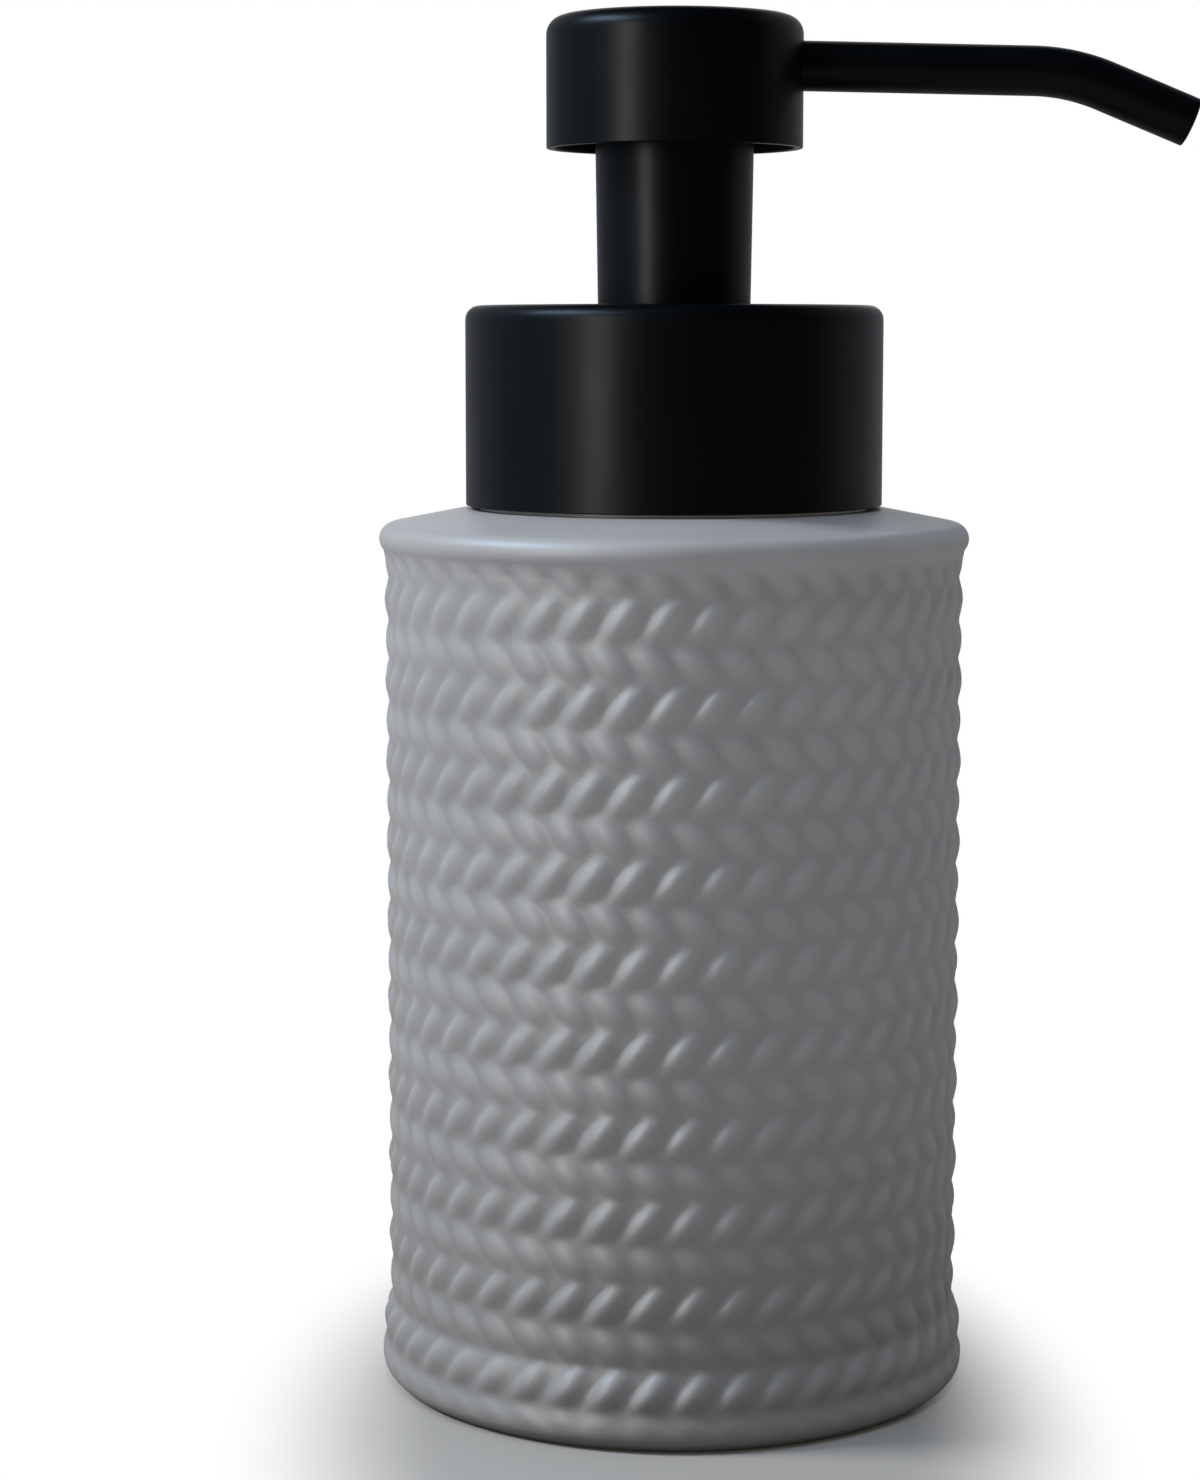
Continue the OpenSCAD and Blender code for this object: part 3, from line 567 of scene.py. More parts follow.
def closed_foam(finish):
    """Die-cut closed-cell polyethylene foam: chalky white, dimpled by its cells."""
    material, tree, shader = new_material("closed_cell_polyethylene_foam")
    place = add_node(tree, "ShaderNodeTexCoord").outputs["Object"]
    # Cells 0.45 mm across
    cells = add_node(tree, "ShaderNodeTexVoronoi", {"Vector": place, "Scale": 2200.0})
    base = hex_to_linear(finish.foam)
    mixed = add_node(tree, "ShaderNodeMix", {0: cells.outputs["Distance"], 6: base,
                                             7: [0.8 * c for c in base[:3]] + [1.0]},
                     data_type="RGBA")
    tree.links.new(mixed.outputs["Result"], shader.inputs["Base Color"])
    bump = add_node(tree, "ShaderNodeBump", {"Strength": 0.4, "Distance": 0.08 * MM,
                                             "Height": cells.outputs["Distance"]}, invert=True)
    tree.links.new(bump.outputs[0], shader.inputs["Normal"])
    shader.inputs["Roughness"].default_value = 0.85
    return material


def silicone(finish):
    """Moulded silicone of the air valve: soft, slightly dusty, with a faint bloom."""
    material, tree, shader = new_material("moulded_silicone")
    place = add_node(tree, "ShaderNodeTexCoord").outputs["Object"]
    # Bloom in patches about 2 mm across
    bloom = add_node(tree, "ShaderNodeTexNoise", {"Vector": place, "Scale": 480.0, "Detail": 3.0})
    base = hex_to_linear(finish.rubber)
    mixed = add_node(tree, "ShaderNodeMix", {0: bloom.outputs["Fac"], 6: base,
                                             7: [0.85 * c for c in base[:3]] + [1.0]},
                     data_type="RGBA")
    tree.links.new(mixed.outputs["Result"], shader.inputs["Base Color"])
    gloss = add_node(tree, "ShaderNodeMapRange", {0: bloom.outputs["Fac"], 3: 0.45, 4: 0.65})
    tree.links.new(gloss.outputs["Result"], shader.inputs["Roughness"])
    shader.inputs["IOR"].default_value = 1.41
    shader.inputs["Sheen Weight"].default_value = 0.15
    return material


def ball_glass(finish):
    """Ground soda-lime glass of the valve balls: clear, with a faint grinding haze."""
    material, tree, shader = new_material("ground_glass_ball")
    place = add_node(tree, "ShaderNodeTexCoord").outputs["Object"]
    # Haze left by grinding, in patches about 1 mm across
    haze = add_node(tree, "ShaderNodeTexNoise", {"Vector": place, "Scale": 1000.0, "Detail": 2.0})
    gloss = add_node(tree, "ShaderNodeMapRange", {0: haze.outputs["Fac"], 3: 0.02, 4: 0.09})
    tree.links.new(gloss.outputs["Result"], shader.inputs["Roughness"])
    shader.inputs["Base Color"].default_value = hex_to_linear(finish.glass)
    shader.inputs["IOR"].default_value = 1.52
    shader.inputs["Transmission Weight"].default_value = 1.0
    return material


def nylon_thread(finish):
    """Nylon monofilament of the foam screens: pale, smooth and a little see-through."""
    material, tree, shader = new_material("nylon_monofilament")
    place = add_node(tree, "ShaderNodeTexCoord").outputs["Object"]
    # Tone changes along the thread, about 0.8 mm long
    tone = add_node(tree, "ShaderNodeTexNoise", {"Vector": place, "Scale": 1250.0})
    base = hex_to_linear(finish.nylon)
    mixed = add_node(tree, "ShaderNodeMix", {0: tone.outputs["Fac"], 6: base,
                                             7: [0.86 * c for c in base[:3]] + [1.0]},
                     data_type="RGBA")
    tree.links.new(mixed.outputs["Result"], shader.inputs["Base Color"])
    shader.inputs["Roughness"].default_value = 0.3
    shader.inputs["IOR"].default_value = 1.53
    shader.inputs["Transmission Weight"].default_value = 0.2
    return material


# ---- Bottle ----


FINE_COLUMNS = 10       # mesh columns to a stitch, outside
COARSE_COLUMNS = 2      # mesh columns to a stitch, inside and underneath
ROW_STEPS = 9           # mesh rows to a row of grains


def bottle_section(bottle):
    """Three sections of the bottle: outside from the foot up, inside from the mouth down, and
    underneath from the middle out."""
    foot_r, seat_z = radius_of("bottle"), top_of("bottle")
    wall_r, wall_z = bottle.crest_r, bottle.wall_z
    belly_z, edge = bottle.belly_z, bottle.foot_edge
    # The foot: a rounded edge, and a wide arc through the belly up to the straight wall
    swell = foot_r - wall_r
    belly = ((wall_z - belly_z) ** 2 + swell ** 2) / (2 * swell)
    belly_r = foot_r - belly
    edge_x = belly_r + math.sqrt((belly - edge) ** 2 - (belly_z - edge) ** 2)
    toe = math.degrees(math.atan2(edge - belly_z, edge_x - belly_r))
    heel = math.degrees(math.asin((wall_z - belly_z) / belly))
    outer = arc(edge_x, edge, edge, -90, toe, steps=7)
    outer += arc(belly_r, belly_z, belly, toe, heel, steps=14)[1:]
    # The straight wall up to the lip, the lip's rounding, and the shoulder in to the flat seat
    lip_r, lip_z, lip_round = bottle.lip_r, bottle.lip_z, bottle.lip_round
    under = -math.degrees(math.acos((wall_r - lip_r + lip_round) / lip_round))
    over = 90 - math.degrees(bottle.shoulder_slope)
    lip_start = lip_z + lip_round * math.sin(math.radians(under))
    rows = round((lip_start - wall_z) / (bottle.row_pitch / ROW_STEPS))
    outer += straight((wall_r, wall_z), (wall_r, lip_start), rows)
    outer += arc(lip_r - lip_round, lip_z, lip_round, under, over, steps=14)
    outer += straight(outer[-1], (bottle.seat_r, seat_z), steps=5)
    outer += [(bottle.seat_r, seat_z)]
    # The mouth, and the hollow down to the floor
    mouth_r, mouth_round, bevel = bottle.mouth_r, bottle.mouth_round, bottle.break_edge
    cavity_r, cavity_round = bottle.cavity_r, bottle.cavity_round
    cavity_top, cavity_low = seat_z - bottle.cover, bottle.floor_z + cavity_round
    inner = [(mouth_r + mouth_round + bevel, seat_z)]
    inner += arc(mouth_r + mouth_round, seat_z - mouth_round, mouth_round, 90, 180, steps=4)
    inner += [(mouth_r, cavity_top + bevel), (mouth_r + bevel, cavity_top)]
    turn_r = cavity_r - cavity_round
    inner += arc(turn_r, cavity_top - cavity_round, cavity_round, 90, 0, steps=8)
    inner += straight(inner[-1], (cavity_r, cavity_low), steps=4)
    inner += arc(turn_r, cavity_low, cavity_round, 0, -90, steps=8)
    inner += [(cavity_r / 2, bottle.floor_z), (0.0, bottle.floor_z)]
    # The recess inside the foot ring, whose wall leans in over a small bevel
    ring_r, recess = edge_x - bottle.ring_w, bottle.recess
    base = [(0.0, recess), (ring_r / 2, recess)]
    base += [(ring_r - bevel - bottle.recess_lean, recess), (ring_r - bevel, bevel), (ring_r, 0.0)]
    return outer, inner, base


def ring_points(r, z, count, turn):
    """Points evenly round the axis at one height."""
    return [(r * math.sin(a), -r * math.cos(a), z) for a in np.arange(count) * TAU / count + turn]


def bottle_shell(bottle):
    """The bottle before its relief: fine columns outside, coarse ones inside.
    The outer columns zigzag with the grains, so that grooves run along the mesh."""
    outer, inner, base = bottle_section(bottle)
    fine = bottle.stitches * FINE_COLUMNS
    coarse = bottle.stitches * COARSE_COLUMNS
    vertices, rings = [], []
    twist = 0.0
    for i, (r, z) in enumerate(outer):
        if i:
            row = math.floor((bottle.row_top - (z + outer[i - 1][1]) / 2) / bottle.row_pitch)
            lean = math.tan(bottle.rise_lean if row % 2 == 0 else bottle.fall_lean)
            twist += lean * (z - outer[i - 1][1]) / bottle.crest_r
        rings.append(range(len(vertices), len(vertices) + fine))
        vertices += ring_points(r, z, fine, twist)
    coarse_rings = []
    for points, turn in ((inner, twist), (base, 0.0)):
        group = []
        for r, z in points:
            count = 1 if r == 0 else coarse
            group.append(range(len(vertices), len(vertices) + count))
            vertices += ring_points(r, z, count, turn)
        coarse_rings.append(group)
    inside, under = coarse_rings
    faces = []
    for group in (rings, inside, under):
        for low, high in zip(group, group[1:]):
            faces += bridge(low, high)
    faces += widen(rings[-1], inside[0])
    faces += widen(rings[0], under[-1])
    piece = new_piece("knit_bottle", vertices, faces)
    face_outwards(piece)
    return piece


def widen(many, few):
    """Faces between a ring of fine columns and one of coarse columns."""
    ratio = len(many) // len(few)
    faces = []
    for c in range(len(few)):
        side = [many[(c * ratio + k) % len(many)] for k in range(ratio + 1)]
        near, far = few[c], few[(c + 1) % len(few)]
        faces += [(side[k], side[k + 1], near if k < ratio // 2 else far)
                  for k in range(ratio)]
        faces.append((side[ratio // 2], far, near))
    return faces


def bridge(low, high):
    """Faces between two rings of the same count, or between a ring and a pole."""
    count = max(len(low), len(high))
    if len(low) == 1:
        return [(low[0], high[(c + 1) % count], high[c]) for c in range(count)]
    if len(high) == 1:
        return [(low[c], low[(c + 1) % count], high[0]) for c in range(count)]
    return [(low[c], low[(c + 1) % count], high[(c + 1) % count], high[c]) for c in range(count)]


# What describes a family of grains: the tree's input, and the ending of the bottle's property
GRAIN_SIZES = {"lean": "lean", "half length": "l", "half width": "w", "tip": "tip",
               "skew": "skew", "offset": "up", "phase": "phase", "relief": "h"}


def grain_heights(tree, given, row, rows_down, drift, part, along, stitch_w):
    """Nodes for the height of one family of grains, which fills every second row. rows_down is
    the distance, in rows, from the top of the full rows to the middle of its first row."""
    half_w = add_node(tree, "ShaderNodeMath", {0: stitch_w, 1: 0.5}, operation="MULTIPLY")
    back_w = add_node(tree, "ShaderNodeMath", {0: stitch_w, 1: -0.5}, operation="MULTIPLY")
    pair = add_node(tree, "ShaderNodeMath", {0: given["Row height"], 1: 2.0},
                    operation="MULTIPLY")
    # v is the height above the middle of the nearest row of the family
    drop = add_node(tree, "ShaderNodeMath", {0: given["Row height"], 1: -rows_down,
                                             2: given["Row top"]}, operation="MULTIPLY_ADD")
    middle_z = add_node(tree, "ShaderNodeMath", {0: drop, 1: given[row + "offset"]},
                        operation="ADD")
    above = add_node(tree, "ShaderNodeMath", {0: part.outputs["Z"], 1: middle_z},
                     operation="SUBTRACT")
    pairs = add_node(tree, "ShaderNodeMath", {0: above, 1: pair}, operation="DIVIDE")
    whole = add_node(tree, "ShaderNodeMath", {0: pairs}, operation="ROUND")
    pairs_z = add_node(tree, "ShaderNodeMath", {0: whole, 1: pair}, operation="MULTIPLY")
    v = add_node(tree, "ShaderNodeMath", {0: above, 1: pairs_z}, operation="SUBTRACT")
    # u is the way round from the middle of the grain that is nearest along its lean
    turned = add_node(tree, "ShaderNodeMath", {0: whole, 1: drift, 2: given[row + "phase"]},
                      operation="MULTIPLY_ADD")
    start = add_node(tree, "ShaderNodeMath", {0: turned, 1: stitch_w}, operation="MULTIPLY")
    slope = add_node(tree, "ShaderNodeMath", {0: given[row + "lean"]}, operation="TANGENT")
    lean_by = add_node(tree, "ShaderNodeMath", {0: slope, 1: v}, operation="MULTIPLY")
    middle = add_node(tree, "ShaderNodeMath", {0: start, 1: lean_by}, operation="ADD")
    off = add_node(tree, "ShaderNodeMath", {0: along, 1: middle}, operation="SUBTRACT")
    near = add_node(tree, "ShaderNodeMath", {0: off, 1: half_w, 2: back_w}, operation="WRAP")
    u = add_node(tree, "ShaderNodeMath", {0: near, 1: lean_by}, operation="ADD")
    # The grain stood upright, as shares of its half width and half length
    grain = add_node(tree, "ShaderNodeCombineXYZ", {0: u, 1: v})
    upright = add_node(tree, "ShaderNodeVectorRotate",
                       {"Vector": grain, "Angle": given[row + "lean"]}, rotation_type="Z_AXIS")
    turned_uv = add_node(tree, "ShaderNodeSeparateXYZ", {0: upright})
    wide = add_node(tree, "ShaderNodeMath", {0: turned_uv.outputs["X"],
                                             1: given[row + "half width"]}, operation="DIVIDE")
    tall = add_node(tree, "ShaderNodeMath", {0: turned_uv.outputs["Y"],
                                             1: given[row + "half length"]}, operation="DIVIDE")
    # A rounded section that skews across the grain and ends at its tips
    shifted = add_node(tree, "ShaderNodeMath", {0: wide, 1: given[row + "skew"]},
                       operation="ADD")
    squeeze = add_node(tree, "ShaderNodeMath", {0: wide, 1: given[row + "skew"], 2: 1.0},
                       operation="MULTIPLY_ADD")
    across = add_node(tree, "ShaderNodeMath", {0: shifted, 1: squeeze}, operation="DIVIDE")
    far = add_node(tree, "ShaderNodeMath", {0: tall}, operation="ABSOLUTE")
    tip = add_node(tree, "ShaderNodeMath", {0: far, 1: given[row + "tip"]}, operation="POWER")
    used = add_node(tree, "ShaderNodeMath", {0: across, 1: across, 2: tip},
                    operation="MULTIPLY_ADD")
    rest = add_node(tree, "ShaderNodeMath", {0: 1.0, 1: used}, operation="SUBTRACT")
    inside = add_node(tree, "ShaderNodeMath", {0: rest, 1: 0.0}, operation="MAXIMUM")
    shape = add_node(tree, "ShaderNodeMath", {0: inside, 1: given["Fullness"]},
                     operation="POWER")
    return add_node(tree, "ShaderNodeMath", {0: shape, 1: given[row + "relief"]},
                    operation="MULTIPLY")


def relief_fade(tree, given, part):
    """Nodes for the share of the relief at a height: none on the plain foot and at the lip."""
    foot_end = add_node(tree, "ShaderNodeMath", {0: given["Plain foot"], 1: given["Foot fade"]},
                        operation="ADD")
    over_foot = add_node(tree, "ShaderNodeMapRange",
                         {0: part.outputs["Z"], 1: given["Plain foot"], 2: foot_end},
                         interpolation_type="SMOOTHSTEP")
    lip_start = add_node(tree, "ShaderNodeMath", {0: given["Lip"], 1: given["Lip fade"]},
                         operation="SUBTRACT")
    under_lip = add_node(tree, "ShaderNodeMapRange",
                         {0: part.outputs["Z"], 1: lip_start, 2: given["Lip"], 3: 1.0, 4: 0.0},
                         interpolation_type="SMOOTHSTEP")
    return add_node(tree, "ShaderNodeMath", {0: over_foot, 1: under_lip}, operation="MULTIPLY")


def knit_relief_tree(glaze, clay):
    """Geometry Nodes: presses two families of leaning grains into the bottle's wall."""
    tree = bpy.data.node_groups.new("knit_relief", "GeometryNodeTree")
    tree.is_modifier = True
    tree.interface.new_socket("Geometry", in_out="INPUT", socket_type="NodeSocketGeometry")
    tree.interface.new_socket("Geometry", in_out="OUTPUT", socket_type="NodeSocketGeometry")
    for name in ("Stitches", "Row height", "Row top", "Crest radius", "Relief", "Drift",
                 "Fullness", "Blend", "Plain foot", "Foot fade", "Lip", "Lip fade",
                 "Clay height",
                 *(row + size for row in ("Rise ", "Fall ") for size in GRAIN_SIZES)):
        tree.interface.new_socket(name, in_out="INPUT", socket_type="NodeSocketFloat")
    given = add_node(tree, "NodeGroupInput").outputs
    part = add_node(tree, "ShaderNodeSeparateXYZ", {0: add_node(tree, "GeometryNodeInputPosition")})
    # The way round the wall from the front, and the width of a stitch
    back = add_node(tree, "ShaderNodeMath", {0: part.outputs["Y"], 1: -1.0}, operation="MULTIPLY")
    angle = add_node(tree, "ShaderNodeMath", {0: part.outputs["X"], 1: back},
                     operation="ARCTAN2")
    along = add_node(tree, "ShaderNodeMath", {0: angle, 1: given["Crest radius"]},
                     operation="MULTIPLY")
    share = add_node(tree, "ShaderNodeMath", {0: TAU, 1: given["Stitches"]}, operation="DIVIDE")
    stitch_w = add_node(tree, "ShaderNodeMath", {0: given["Crest radius"], 1: share},
                        operation="MULTIPLY")
    rising = grain_heights(tree, given, "Rise ", 0.5, given["Drift"], part, along, stitch_w)
    falling = grain_heights(tree, given, "Fall ", 1.5, 0.0, part, along, stitch_w)
    joined = add_node(tree, "ShaderNodeMath", {0: rising, 1: falling, 2: given["Blend"]},
                      operation="SMOOTH_MAX")
    groove = add_node(tree, "ShaderNodeMath", {0: given["Relief"], 1: joined},
                      operation="SUBTRACT")
    fade = relief_fade(tree, given, part)
    depth = add_node(tree, "ShaderNodeMath", {0: groove, 1: fade}, operation="MULTIPLY")
    # The relief as a share, kept for the glaze, which pools in the grooves and is darkened there
    # with painted shade
    deep = add_node(tree, "ShaderNodeMath", {0: depth, 1: given["Relief"]}, operation="DIVIDE")
    kept_relief = add_node(tree, "ShaderNodeMath", {0: 1.0, 1: deep}, operation="SUBTRACT")
    kept = add_node(tree, "GeometryNodeStoreNamedAttribute",
                    {"Geometry": given["Geometry"], "Name": "relief", "Value": kept_relief},
                    data_type="FLOAT", domain="POINT")
    # Only the outer wall moves in, straight towards the axis
    inward = add_node(tree, "ShaderNodeMath", {0: depth, 1: -1.0}, operation="MULTIPLY")
    flat = add_node(tree, "ShaderNodeCombineXYZ", {0: part.outputs["X"], 1: part.outputs["Y"]})
    outward = add_node(tree, "ShaderNodeVectorMath", {0: flat}, operation="NORMALIZE")
    wall_r = add_node(tree, "ShaderNodeVectorMath", {0: flat}, operation="LENGTH").outputs["Value"]
    offset = add_node(tree, "ShaderNodeVectorMath", {0: outward, "Scale": inward},
                      operation="SCALE")
    near_wall = add_node(tree, "ShaderNodeMath", {0: given["Crest radius"], 1: given["Relief"]},
                         operation="SUBTRACT")
    is_outer = add_node(tree, "FunctionNodeCompare", {0: wall_r, 1: near_wall},
                        operation="GREATER_THAN")
    moved = add_node(tree, "GeometryNodeSetPosition",
                     {"Geometry": kept, "Selection": is_outer, "Offset": offset})
    real = add_node(tree, "GeometryNodeRealizeInstances", {"Geometry": moved})
    glazed = add_node(tree, "GeometryNodeSetMaterial", {"Geometry": real, "Material": glaze})
    # The glaze is wiped off the lowest edge
    is_clay = add_node(tree, "FunctionNodeCompare", {0: part.outputs["Z"],
                                                     1: given["Clay height"]},
                       operation="LESS_THAN")
    wiped = add_node(tree, "GeometryNodeSetMaterial",
                     {"Geometry": glazed, "Selection": is_clay, "Material": clay})
    add_node(tree, "NodeGroupOutput", {"Geometry": wiped})
    return tree


class MakeBottle(bpy.types.Operator):
    """Makes the ceramic bottle with its knit relief"""
    bl_idname = "soap_pump.bottle"
    bl_label = "Bottle"

    def execute(self, context):
        bottle = context.scene.soap_pump_bottle
        finish = context.scene.soap_pump_finish
        glaze, clay = satin_glaze(finish), bisque(finish)
        piece = bottle_shell(bottle)
        tree = knit_relief_tree(glaze, clay)
        modifier = piece.modifiers.new("knit_relief", "NODES")
        modifier.node_group = tree
        values = {
            "Stitches": float(bottle.stitches), "Row height": bottle.row_pitch,
            "Row top": bottle.row_top, "Crest radius": bottle.crest_r, "Relief": bottle.relief,
            "Drift": bottle.drift, "Fullness": bottle.fullness, "Blend": bottle.blend,
            "Plain foot": bottle.foot_plain, "Foot fade": bottle.foot_fade,
            "Lip": bottle.lip_z - bottle.lip_under * bottle.lip_round,
            "Lip fade": bottle.lip_fade,
            "Clay height": bottle.clay_top,
        }
        for row, start in (("Rise ", "rise_"), ("Fall ", "fall_")):
            for size, ending in GRAIN_SIZES.items():
                values[row + size] = getattr(bottle, start + ending)
        set_inputs(modifier, values)
        made_plain(piece)
        piece.data.shade_smooth()
        fit(piece, "bottle", "ceramic_glaze", "bottle")
        return {"FINISHED"}


# ---- Metal shells and sleeve ----


class MakeShells(bpy.types.Operator):
    """Makes the collar shell and the head shell"""
    bl_idname = "soap_pump.shells"
    bl_label = "Collar and head shells"

    def execute(self, context):
        metal = context.scene.soap_pump_metal
        coat = powder_coat(context.scene.soap_pump_finish)
        edge = metal.edge_round
        collar_r, wall = radius_of("collar_shell"), metal.collar_wall
        low, high = foot_of("collar_shell"), top_of("collar_shell")
        hole_r = radius_of("sleeve") + metal.collar_gap
        collar = revolved("collar_cover", rounded([
            (collar_r, low, edge), (collar_r, high, metal.collar_round), (hole_r, high, edge),
            (hole_r, high - wall, edge),
            (collar_r - wall, high - wall, metal.collar_round - wall),
            (collar_r - wall, low, edge)]))
        head_r, wall = radius_of("head_shell"), metal.head_wall
        low, high = foot_of("head_shell"), top_of("head_shell")
        head = revolved("head_cover", rounded([
            (head_r, low, edge), (head_r, high, metal.head_round), (0.0, high, 0),
            (0.0, high - wall, 0), (head_r - wall, high - wall, metal.head_round - wall),
            (head_r - wall, low, edge)], steps=8))
        for piece, body, node in ((collar, "collar", "collar_shell"),
                                  (head, "head", "head_shell")):
            piece.data.materials.append(coat)
            fit(piece, body, "black_metal", node)
        return {"FINISHED"}


class MakeSleeve(bpy.types.Operator):
    """Makes the tapered sleeve between collar and head"""
    bl_idname = "soap_pump.sleeve"
    bl_label = "Sleeve"

    def execute(self, context):
        metal = context.scene.soap_pump_metal
        low, high = foot_of("sleeve"), top_of("sleeve")
        top_r = radius_of("sleeve")
        low_r = top_r - (high - low) * math.tan(metal.sleeve_draft)
        bore_r = low_r - metal.sleeve_wall
        edge = metal.edge_round
        piece = revolved("sleeve_tube", rounded([
            (low_r, low, edge), (top_r, high, edge), (bore_r, high, edge), (bore_r, low, edge)]))
        piece.data.materials.append(black_resin(context.scene.soap_pump_finish))
        fit(piece, "head", "black_plastic", "sleeve")
        return {"FINISHED"}


# ---- Spout ----


def spout_lengths(metal, head_r):
    """Lengths of the spout's straight part, from the head's wall, and of its bend."""
    straight_len = (metal.spout_bend_x - head_r) / math.cos(metal.spout_slope)
    bend_len = metal.spout_bend_r * (metal.outlet_slope - metal.spout_slope)
    return straight_len, bend_len


def spout_point(metal, head_r, distance):
    """Centre of the spout and its slope, at a distance along it from the head's wall."""
    straight_len, bend_len = spout_lengths(metal, head_r)
    bent = min(max(distance - straight_len, 0.0), bend_len)
    slope = metal.spout_slope + bent / metal.spout_bend_r
    first = min(distance, straight_len)
    last = max(distance - straight_len - bend_len, 0.0)
    x = head_r + first * math.cos(metal.spout_slope) + last * math.cos(slope)
    z = -first * math.sin(metal.spout_slope) - last * math.sin(slope)
    x += metal.spout_bend_r * (math.sin(slope) - math.sin(metal.spout_slope))
    z += metal.spout_bend_r * (math.cos(slope) - math.cos(metal.spout_slope))
    return x, z, slope


class MakeSpout(bpy.types.Operator):
    """Makes the bent spout tube with its square-cut outlet"""
    bl_idname = "soap_pump.spout"
    bl_label = "Spout"

    def execute(self, context):
        metal = context.scene.soap_pump_metal
        head_r = radius_of("head_shell")
        line_z = top_of("head_shell") - metal.spout_drop
        start = (metal.spout_start_x - head_r) / math.cos(metal.spout_slope)
        end = sum(spout_lengths(metal, head_r)) + metal.outlet_len
        outer, bore = metal.spout_r, metal.spout_r - metal.spout_wall
        lip = metal.spout_lip
        corners = rounded([(outer, start, lip), (outer, end, lip), (bore, end, lip),
                           (bore, start, lip)], steps=3)
        section = []
        for here, there in zip(corners, corners[1:] + corners[:1]):
            rings = max(1, round(math.dist(here, there) / metal.spout_ring))
            section += [here, *straight(here, there, rings)]
        piece = revolved("curved_spout", section, columns=64)
        for vertex in piece.data.vertices:
            down, across, distance = vertex.co
            x, z, slope = spout_point(metal, head_r, distance)
            vertex.co = (x - down * math.sin(slope), across,
                         line_z + z - down * math.cos(slope))
        face_outwards(piece)
        piece.data.materials.append(powder_coat(context.scene.soap_pump_finish))
        fit(piece, "head", "black_metal", "spout_tube")
        return {"FINISHED"}


# ---- Works inside the pump ----


def coil_tree(steel):
    """Geometry Nodes: sweeps a round wire along a coil whose first and last turns lie closed."""
    tree = bpy.data.node_groups.new("closed_coil", "GeometryNodeTree")
    tree.is_modifier = True
    tree.interface.new_socket("Geometry", in_out="INPUT", socket_type="NodeSocketGeometry")
    tree.interface.new_socket("Geometry", in_out="OUTPUT", socket_type="NodeSocketGeometry")
    for name in ("Turns", "Coil radius", "Wire radius", "Foot", "Height"):
        tree.interface.new_socket(name, in_out="INPUT", socket_type="NodeSocketFloat")
    given = add_node(tree, "NodeGroupInput").outputs
    coil = add_node(tree, "GeometryNodeCurveSpiral",
                    {"Resolution": 36, "Rotations": given["Turns"],
                     "Start Radius": given["Coil radius"], "End Radius": given["Coil radius"],
                     "Height": 0.0})
    way = add_node(tree, "GeometryNodeSplineParameter")
    turn = add_node(tree, "ShaderNodeMath", {0: way.outputs["Factor"], 1: given["Turns"]},
                    operation="MULTIPLY")
    wire_d = add_node(tree, "ShaderNodeMath", {0: given["Wire radius"], 1: 2.0},
                      operation="MULTIPLY")
    last = add_node(tree, "ShaderNodeMath", {0: given["Turns"], 1: 1.0}, operation="SUBTRACT")
    closed = add_node(tree, "ShaderNodeMath", {0: wire_d, 1: 3.0}, operation="MULTIPLY")
    open_h = add_node(tree, "ShaderNodeMath", {0: given["Height"], 1: closed},
                      operation="SUBTRACT")
    # The first and last turns rise by one wire's thickness each, so they lie closed
    rises = [add_node(tree, "ShaderNodeMapRange", {0: turn, 1: low, 2: high, 3: 0.0, 4: rise})
             for low, high, rise in ((0.0, 1.0, wire_d), (1.0, last, open_h),
                                     (last, given["Turns"], wire_d))]
    low_two = add_node(tree, "ShaderNodeMath", {0: rises[0], 1: rises[1]}, operation="ADD")
    rise = add_node(tree, "ShaderNodeMath", {0: low_two, 1: rises[2]}, operation="ADD")
    first_z = add_node(tree, "ShaderNodeMath", {0: given["Foot"], 1: given["Wire radius"]},
                       operation="ADD")
    height = add_node(tree, "ShaderNodeMath", {0: rise, 1: first_z}, operation="ADD")
    offset = add_node(tree, "ShaderNodeCombineXYZ", {2: height})
    placed = add_node(tree, "GeometryNodeSetPosition", {"Geometry": coil, "Offset": offset})
    wire = add_node(tree, "GeometryNodeCurvePrimitiveCircle",
                    {"Resolution": 12, "Radius": given["Wire radius"]})
    swept = add_node(tree, "GeometryNodeCurveToMesh",
                     {"Curve": placed, "Profile Curve": wire, "Fill Caps": True})
    real = add_node(tree, "GeometryNodeRealizeInstances", {"Geometry": swept})
    done = add_node(tree, "GeometryNodeSetMaterial", {"Geometry": real, "Material": steel})
    add_node(tree, "NodeGroupOutput", {"Geometry": done})
    return tree


class MakeSpring(bpy.types.Operator):
    """Makes the return spring, as it stands before the head is pressed"""
    bl_idname = "soap_pump.spring"
    bl_label = "Return spring"

    def execute(self, context):
        works = context.scene.soap_pump_works
        seat, high = foot_of("return_spring"), top_of("return_spring")
        tree = coil_tree(spring_steel(context.scene.soap_pump_finish))
        piece = new_piece("coil_spring", [], [])
        modifier = piece.modifiers.new("closed_coil", "NODES")
        modifier.node_group = tree
        values = {"Turns": float(works.turns), "Wire radius": works.wire_r, "Foot": seat,
                  "Coil radius": radius_of("return_spring") - works.wire_r,
                  "Height": high - seat}
        set_inputs(modifier, values)
        made_plain(piece)
        piece.data.shade_smooth()
        fit(piece, "pump", "spring_steel", "return_spring")
        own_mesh(piece)
        return {"FINISHED"}


